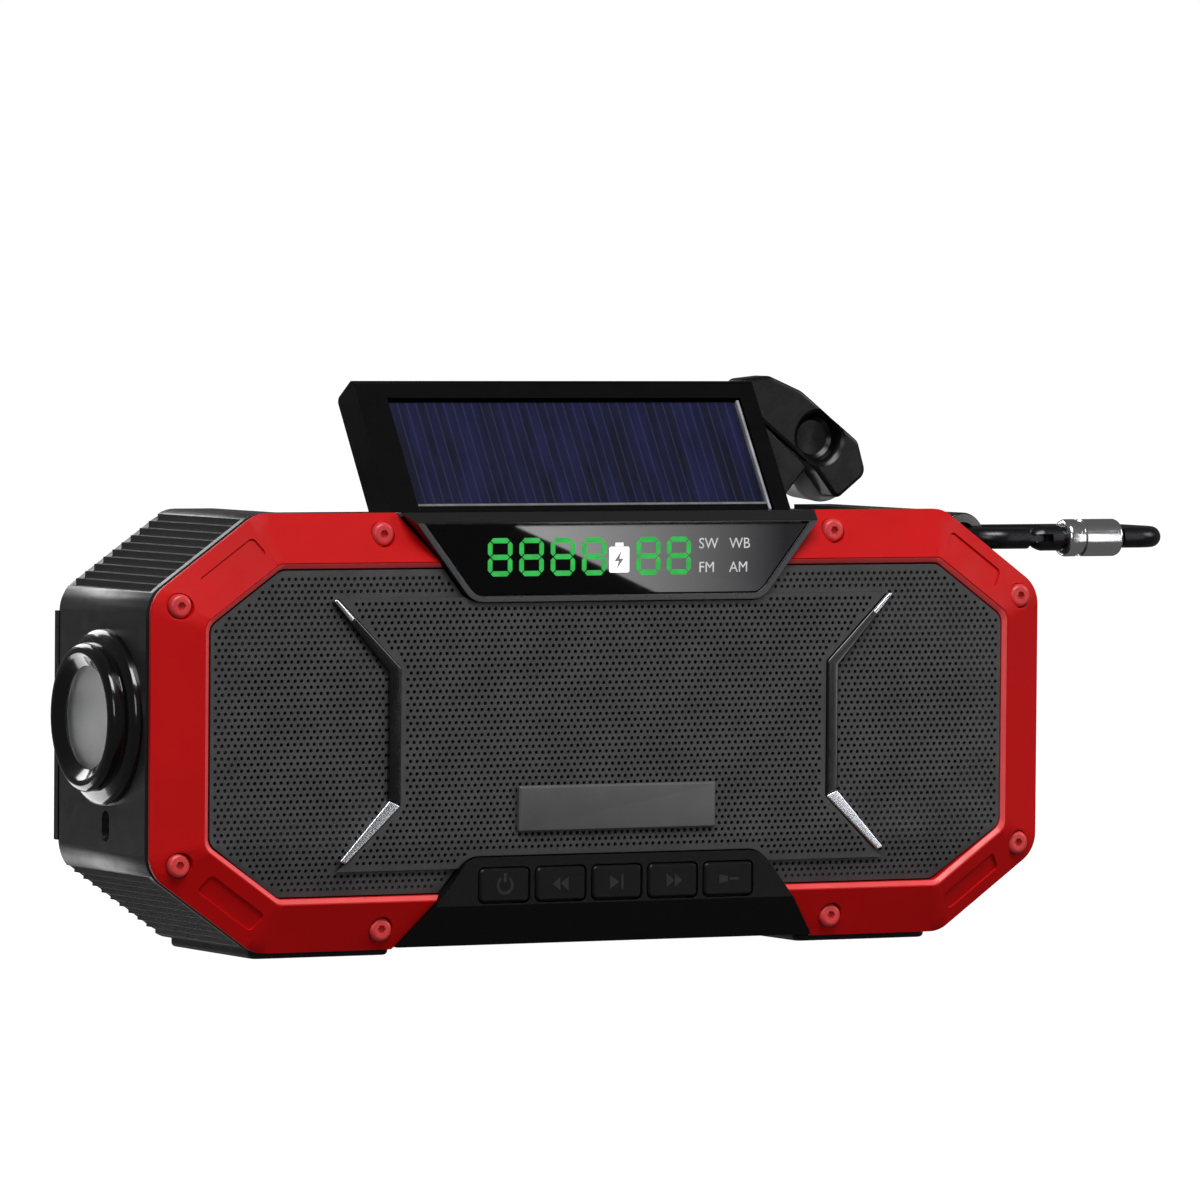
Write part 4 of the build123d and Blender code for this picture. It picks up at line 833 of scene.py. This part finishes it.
grip_profile = [(52.4, 2.05), (52.4, 6.9), (52.6, 7.4), (53.2, 7.7), (54.0, 7.6), (62.0, 7.1), (63.2, 6.6),
                (63.8, 6.1), (64.0, 5.6), (64.0, 3.6), (62.0, 3.6), (62.0, 2.05)]
knob = turned("crank_grip", grip_profile, place(KNOB[0], 0, KNOB[1]), BACKWARDS)
dress(knob, GRIP, body="knob", stands_for=["crank_knob"], sharp=50)

# ---------------------------------------------------------------- carabiner

LOOP_Z, LOOP_FRONT, LOOP_BACK = 81.8, 9.0, 31.0
LOOP_NEAR, LOOP_FAR = 93.5, 137.49
BAR, TONGUE_RADIUS = 2.2, 1.9
PIVOT_X, NOSE_X, SHOULDER_X = 107.1, 127.4, 104.5
route = [(NOSE_X, LOOP_FRONT), (LOOP_FAR, LOOP_FRONT), (LOOP_FAR, LOOP_BACK), (LOOP_NEAR, LOOP_BACK),
         (LOOP_NEAR, LOOP_FRONT), (SHOULDER_X, LOOP_FRONT)]
path = [place(x, depth, LOOP_Z) for x, depth in rounded(route, [0, 6, 6, 6, 6, 0], 10)]
body = tube("carabiner_bar", path, BAR)
tongue = [(x, d) for x, d in circle(PIVOT_X, LOOP_FRONT, TONGUE_RADIUS, 32) if x > PIVOT_X - 0.1]
tongue += [(SHOULDER_X - 1, LOOP_FRONT + side * TONGUE_RADIUS) for side in (1, -1)]
tongue = sorted(tongue, key=lambda p: math.atan2(p[1] - LOOP_FRONT, p[0] - PIVOT_X + 1))
tongue_piece = level_prism("tongue", tongue, LOOP_Z - 0.6, LOOP_Z + 0.6)
carve(body, [tongue_piece], "UNION")
dress(body, GUNMETAL, body="carabiner", stands_for=["carabiner_body"], sharp=40)

RIGHTWARDS = (1, 0, 0)
pivot = place(PIVOT_X, LOOP_FRONT, LOOP_Z)
gate_profile = [(-2.15, 0.1), (-2.05, 0.7), (-1.6, 1.5), (-0.8, 2.1), (0.2, 2.5), (0.9, 2.65), (5.0, 2.65),
                (5.4, 2.5), (5.6, BAR), (19.5, BAR), (19.8, 1.9), (19.8, 0.1)]
gate = turned("carabiner_gate_bar", gate_profile, pivot, RIGHTWARDS, 48, closed=False)
slot_outline = [(LOOP_FRONT - 5, LOOP_Z - 0.9), (LOOP_FRONT + 5, LOOP_Z - 0.9),
                (LOOP_FRONT + 5, LOOP_Z + 0.9), (LOOP_FRONT - 5, LOOP_Z + 0.9)]
slot_cut = side_prism("slot_cut", slot_outline, PIVOT_X - 5, PIVOT_X + 2.5)
pin_cut = turned("pin_cut", [(-5, 0.65), (5, 0.65)], pivot, (0, 0, 1), 32, closed=False)
carve(gate, [slot_cut, pin_cut])
dress(gate, GUNMETAL, body="gate", stands_for=["carabiner_gate"], sharp=40)

SLEEVE_X = 113.0
sleeve_profile = [(0.0, 2.3), (0.0, 3.2), (0.3, 3.7), (0.8, 3.9), (2.9, 3.9), (3.2, 3.5), (4.0, 3.5),
                  (4.3, 3.9), (12.4, 3.9), (12.9, 3.7), (13.2, 3.2), (13.2, 2.3)]
sleeve = turned("carabiner_sleeve_nut", sleeve_profile, place(SLEEVE_X, LOOP_FRONT, LOOP_Z), RIGHTWARDS)
dress(sleeve, CHROME, body="sleeve", stands_for=["carabiner_sleeve"], sharp=50)

# ---------------------------------------------------------------- studio


SKY = 0.1
FLOOR_HALF = 30.0
DOME_RADIUS = 8.0


def staged(name, mesh, material, hidden_from):
    """A piece of the studio, which some kinds of ray pass by."""
    mesh.materials.append(material)
    result = bpy.data.objects.new(name, mesh)
    bpy.context.scene.collection.objects.link(result)
    for ray in hidden_from:
        setattr(result, "visible_" + ray, False)
    return result


paper = Surface("studio_paper", specular=0.1)
paper.join(paper.ramp(paper.noise(400.0), [0.2, 0.2, 0.2, 1], [0.22, 0.22, 0.22, 1]), "Base Color")
paper.set("Roughness", 0.9)
paper.set("Emission Color", (1, 1, 1, 1))
paper.set("Emission Strength", 1.0)
floor_mesh = bpy.data.meshes.new("studio_floor")
floor_corners = [(x * FLOOR_HALF, y * FLOOR_HALF, 0) for x, y in ((-1, -1), (1, -1), (1, 1), (-1, 1))]
floor_mesh.from_pydata(floor_corners, [], [(0, 1, 2, 3)])
staged("studio_floor", floor_mesh, paper.material, ("diffuse", "glossy", "shadow"))

world = bpy.data.worlds.new("studio")
bpy.context.scene.world = world
world.use_nodes = True
sky = world.node_tree.nodes["Background"]
sky.inputs["Color"].default_value = (1, 1, 1, 1)
sky.inputs["Strength"].default_value = SKY

# a pale dome that only the camera sees, so that the lamps alone shape the light
dome_light = Surface("studio_dome", specular=0.0)
pale = dome_light.ramp(dome_light.noise(4000.0), [0.97, 0.97, 0.97, 1], [1, 1, 1, 1])
dome_light.join(pale, "Emission Color")
dome_light.set("Base Color", (0, 0, 0, 1))
dome_light.set("Emission Strength", 1.05)
sphere = bmesh.new()
bmesh.ops.create_icosphere(sphere, subdivisions=4, radius=DOME_RADIUS)
dome_mesh = bpy.data.meshes.new("studio_dome")
sphere.to_mesh(dome_mesh)
sphere.free()
staged("studio_dome", dome_mesh, dome_light.material, ("diffuse", "glossy", "shadow", "transmission"))

TARGET = Vector((0, 0, 0.045))


def softbox(name, position, size, power, aim=TARGET):
    """A soft rectangular lamp, in metres and watts, turned towards aim."""
    light = bpy.data.lights.new(name, "AREA")
    light.shape = "RECTANGLE"
    light.size, light.size_y = size
    light.energy = power
    lamp = bpy.data.objects.new(name, light)
    lamp.location = position
    lamp.rotation_euler = (aim - Vector(position)).to_track_quat("-Z", "Y").to_euler()
    lamp.visible_camera = False
    bpy.context.scene.collection.objects.link(lamp)


softbox("key_light", (-0.3, -1.3, 1.9), (1.6, 0.9), 47)
softbox("side_light", (1.9, -1.0, 0.9), (0.9, 0.9), 12)
softbox("fill_light", (-1.6, -1.9, 0.7), (0.9, 0.9), 9)
softbox("strip_light", (1.235, -1.8, 0.1), (0.13, 1.5), 2.0, aim=Vector((0.12, 0, 0.08)))
softbox("bounce_light", (-0.35, 0.9, -0.4), (0.6, 0.4), 2.0)
softbox("back_light", (-0.15, 0.5, 0.35), (0.3, 0.3), 1.3, aim=Vector((0.08, 0.035, 0.096)))

# ---------------------------------------------------------------- camera

YAW, PITCH, ROLL = (math.radians(a) for a in (28.46749431, -2.19012576, 0.45402088))
CAMERA_SPOT = Vector((-0.8627, -1.6107, 0.1396))
FOCAL_LENGTH, SENSOR_WIDTH = 269.48, 36
forward = Vector((math.sin(YAW) * math.cos(PITCH), math.cos(YAW) * math.cos(PITCH), math.sin(PITCH)))
level = Vector((math.cos(YAW), -math.sin(YAW), 0))
upright = level.cross(forward)
right_axis = level * math.cos(ROLL) + upright * math.sin(ROLL)
up_axis = upright * math.cos(ROLL) - level * math.sin(ROLL)
camera_data = bpy.data.cameras.new("camera")
camera_data.lens = FOCAL_LENGTH
camera_data.sensor_width = SENSOR_WIDTH
camera = bpy.data.objects.new("camera", camera_data)
turn_matrix = Matrix((right_axis, up_axis, -forward)).transposed().to_4x4()
camera.matrix_world = Matrix.Translation(CAMERA_SPOT) @ turn_matrix
bpy.context.scene.collection.objects.link(camera)
bpy.context.scene.camera = camera
bpy.context.scene.view_settings.view_transform = "Standard"

# a gradient card that only shows as the slanting reflection in the display glass
CARD_AWAY = 1.3
CARD_ON_GLASS = ((-24.0, 88.5), (10.5, 71.0), (46.0, 67.0), (46.0, 88.5))
mirror_y = (SEAM_Y + LENS_FRONT) * MM
mirrored_eye = Vector((CAMERA_SPOT.x, 2 * mirror_y - CAMERA_SPOT.y, CAMERA_SPOT.z))
card_corners = []
for x, z in CARD_ON_GLASS:
    on_glass = place(x, LENS_FRONT, z)
    card_corners.append(on_glass + (on_glass - mirrored_eye).normalized() * CARD_AWAY)
card_look = Surface("studio_card", specular=0.0)
card_look.set("Base Color", (0, 0, 0, 1))
across = card_look.nodes.new("ShaderNodeSeparateXYZ")
card_look.links.new(card_look.place, across.inputs["Vector"])
fade = card_look.nodes.new("ShaderNodeMapRange")
fade.inputs["From Min"].default_value = card_corners[0].x
fade.inputs["From Max"].default_value = card_corners[2].x
card_look.links.new(across.outputs["X"], fade.inputs["Value"])
fading = card_look.ramp(fade.outputs["Result"], [1, 1, 1, 1], [0.07, 0.07, 0.08, 1], 0.1, 0.9)
card_look.join(fading, "Emission Color")
card_look.set("Emission Strength", 9.0)
card_mesh = bpy.data.meshes.new("studio_card")
card_mesh.from_pydata([tuple(c) for c in card_corners], [], [(0, 1, 2, 3)])
staged("studio_card", card_mesh, card_look.material, ("camera", "diffuse", "shadow", "transmission"))
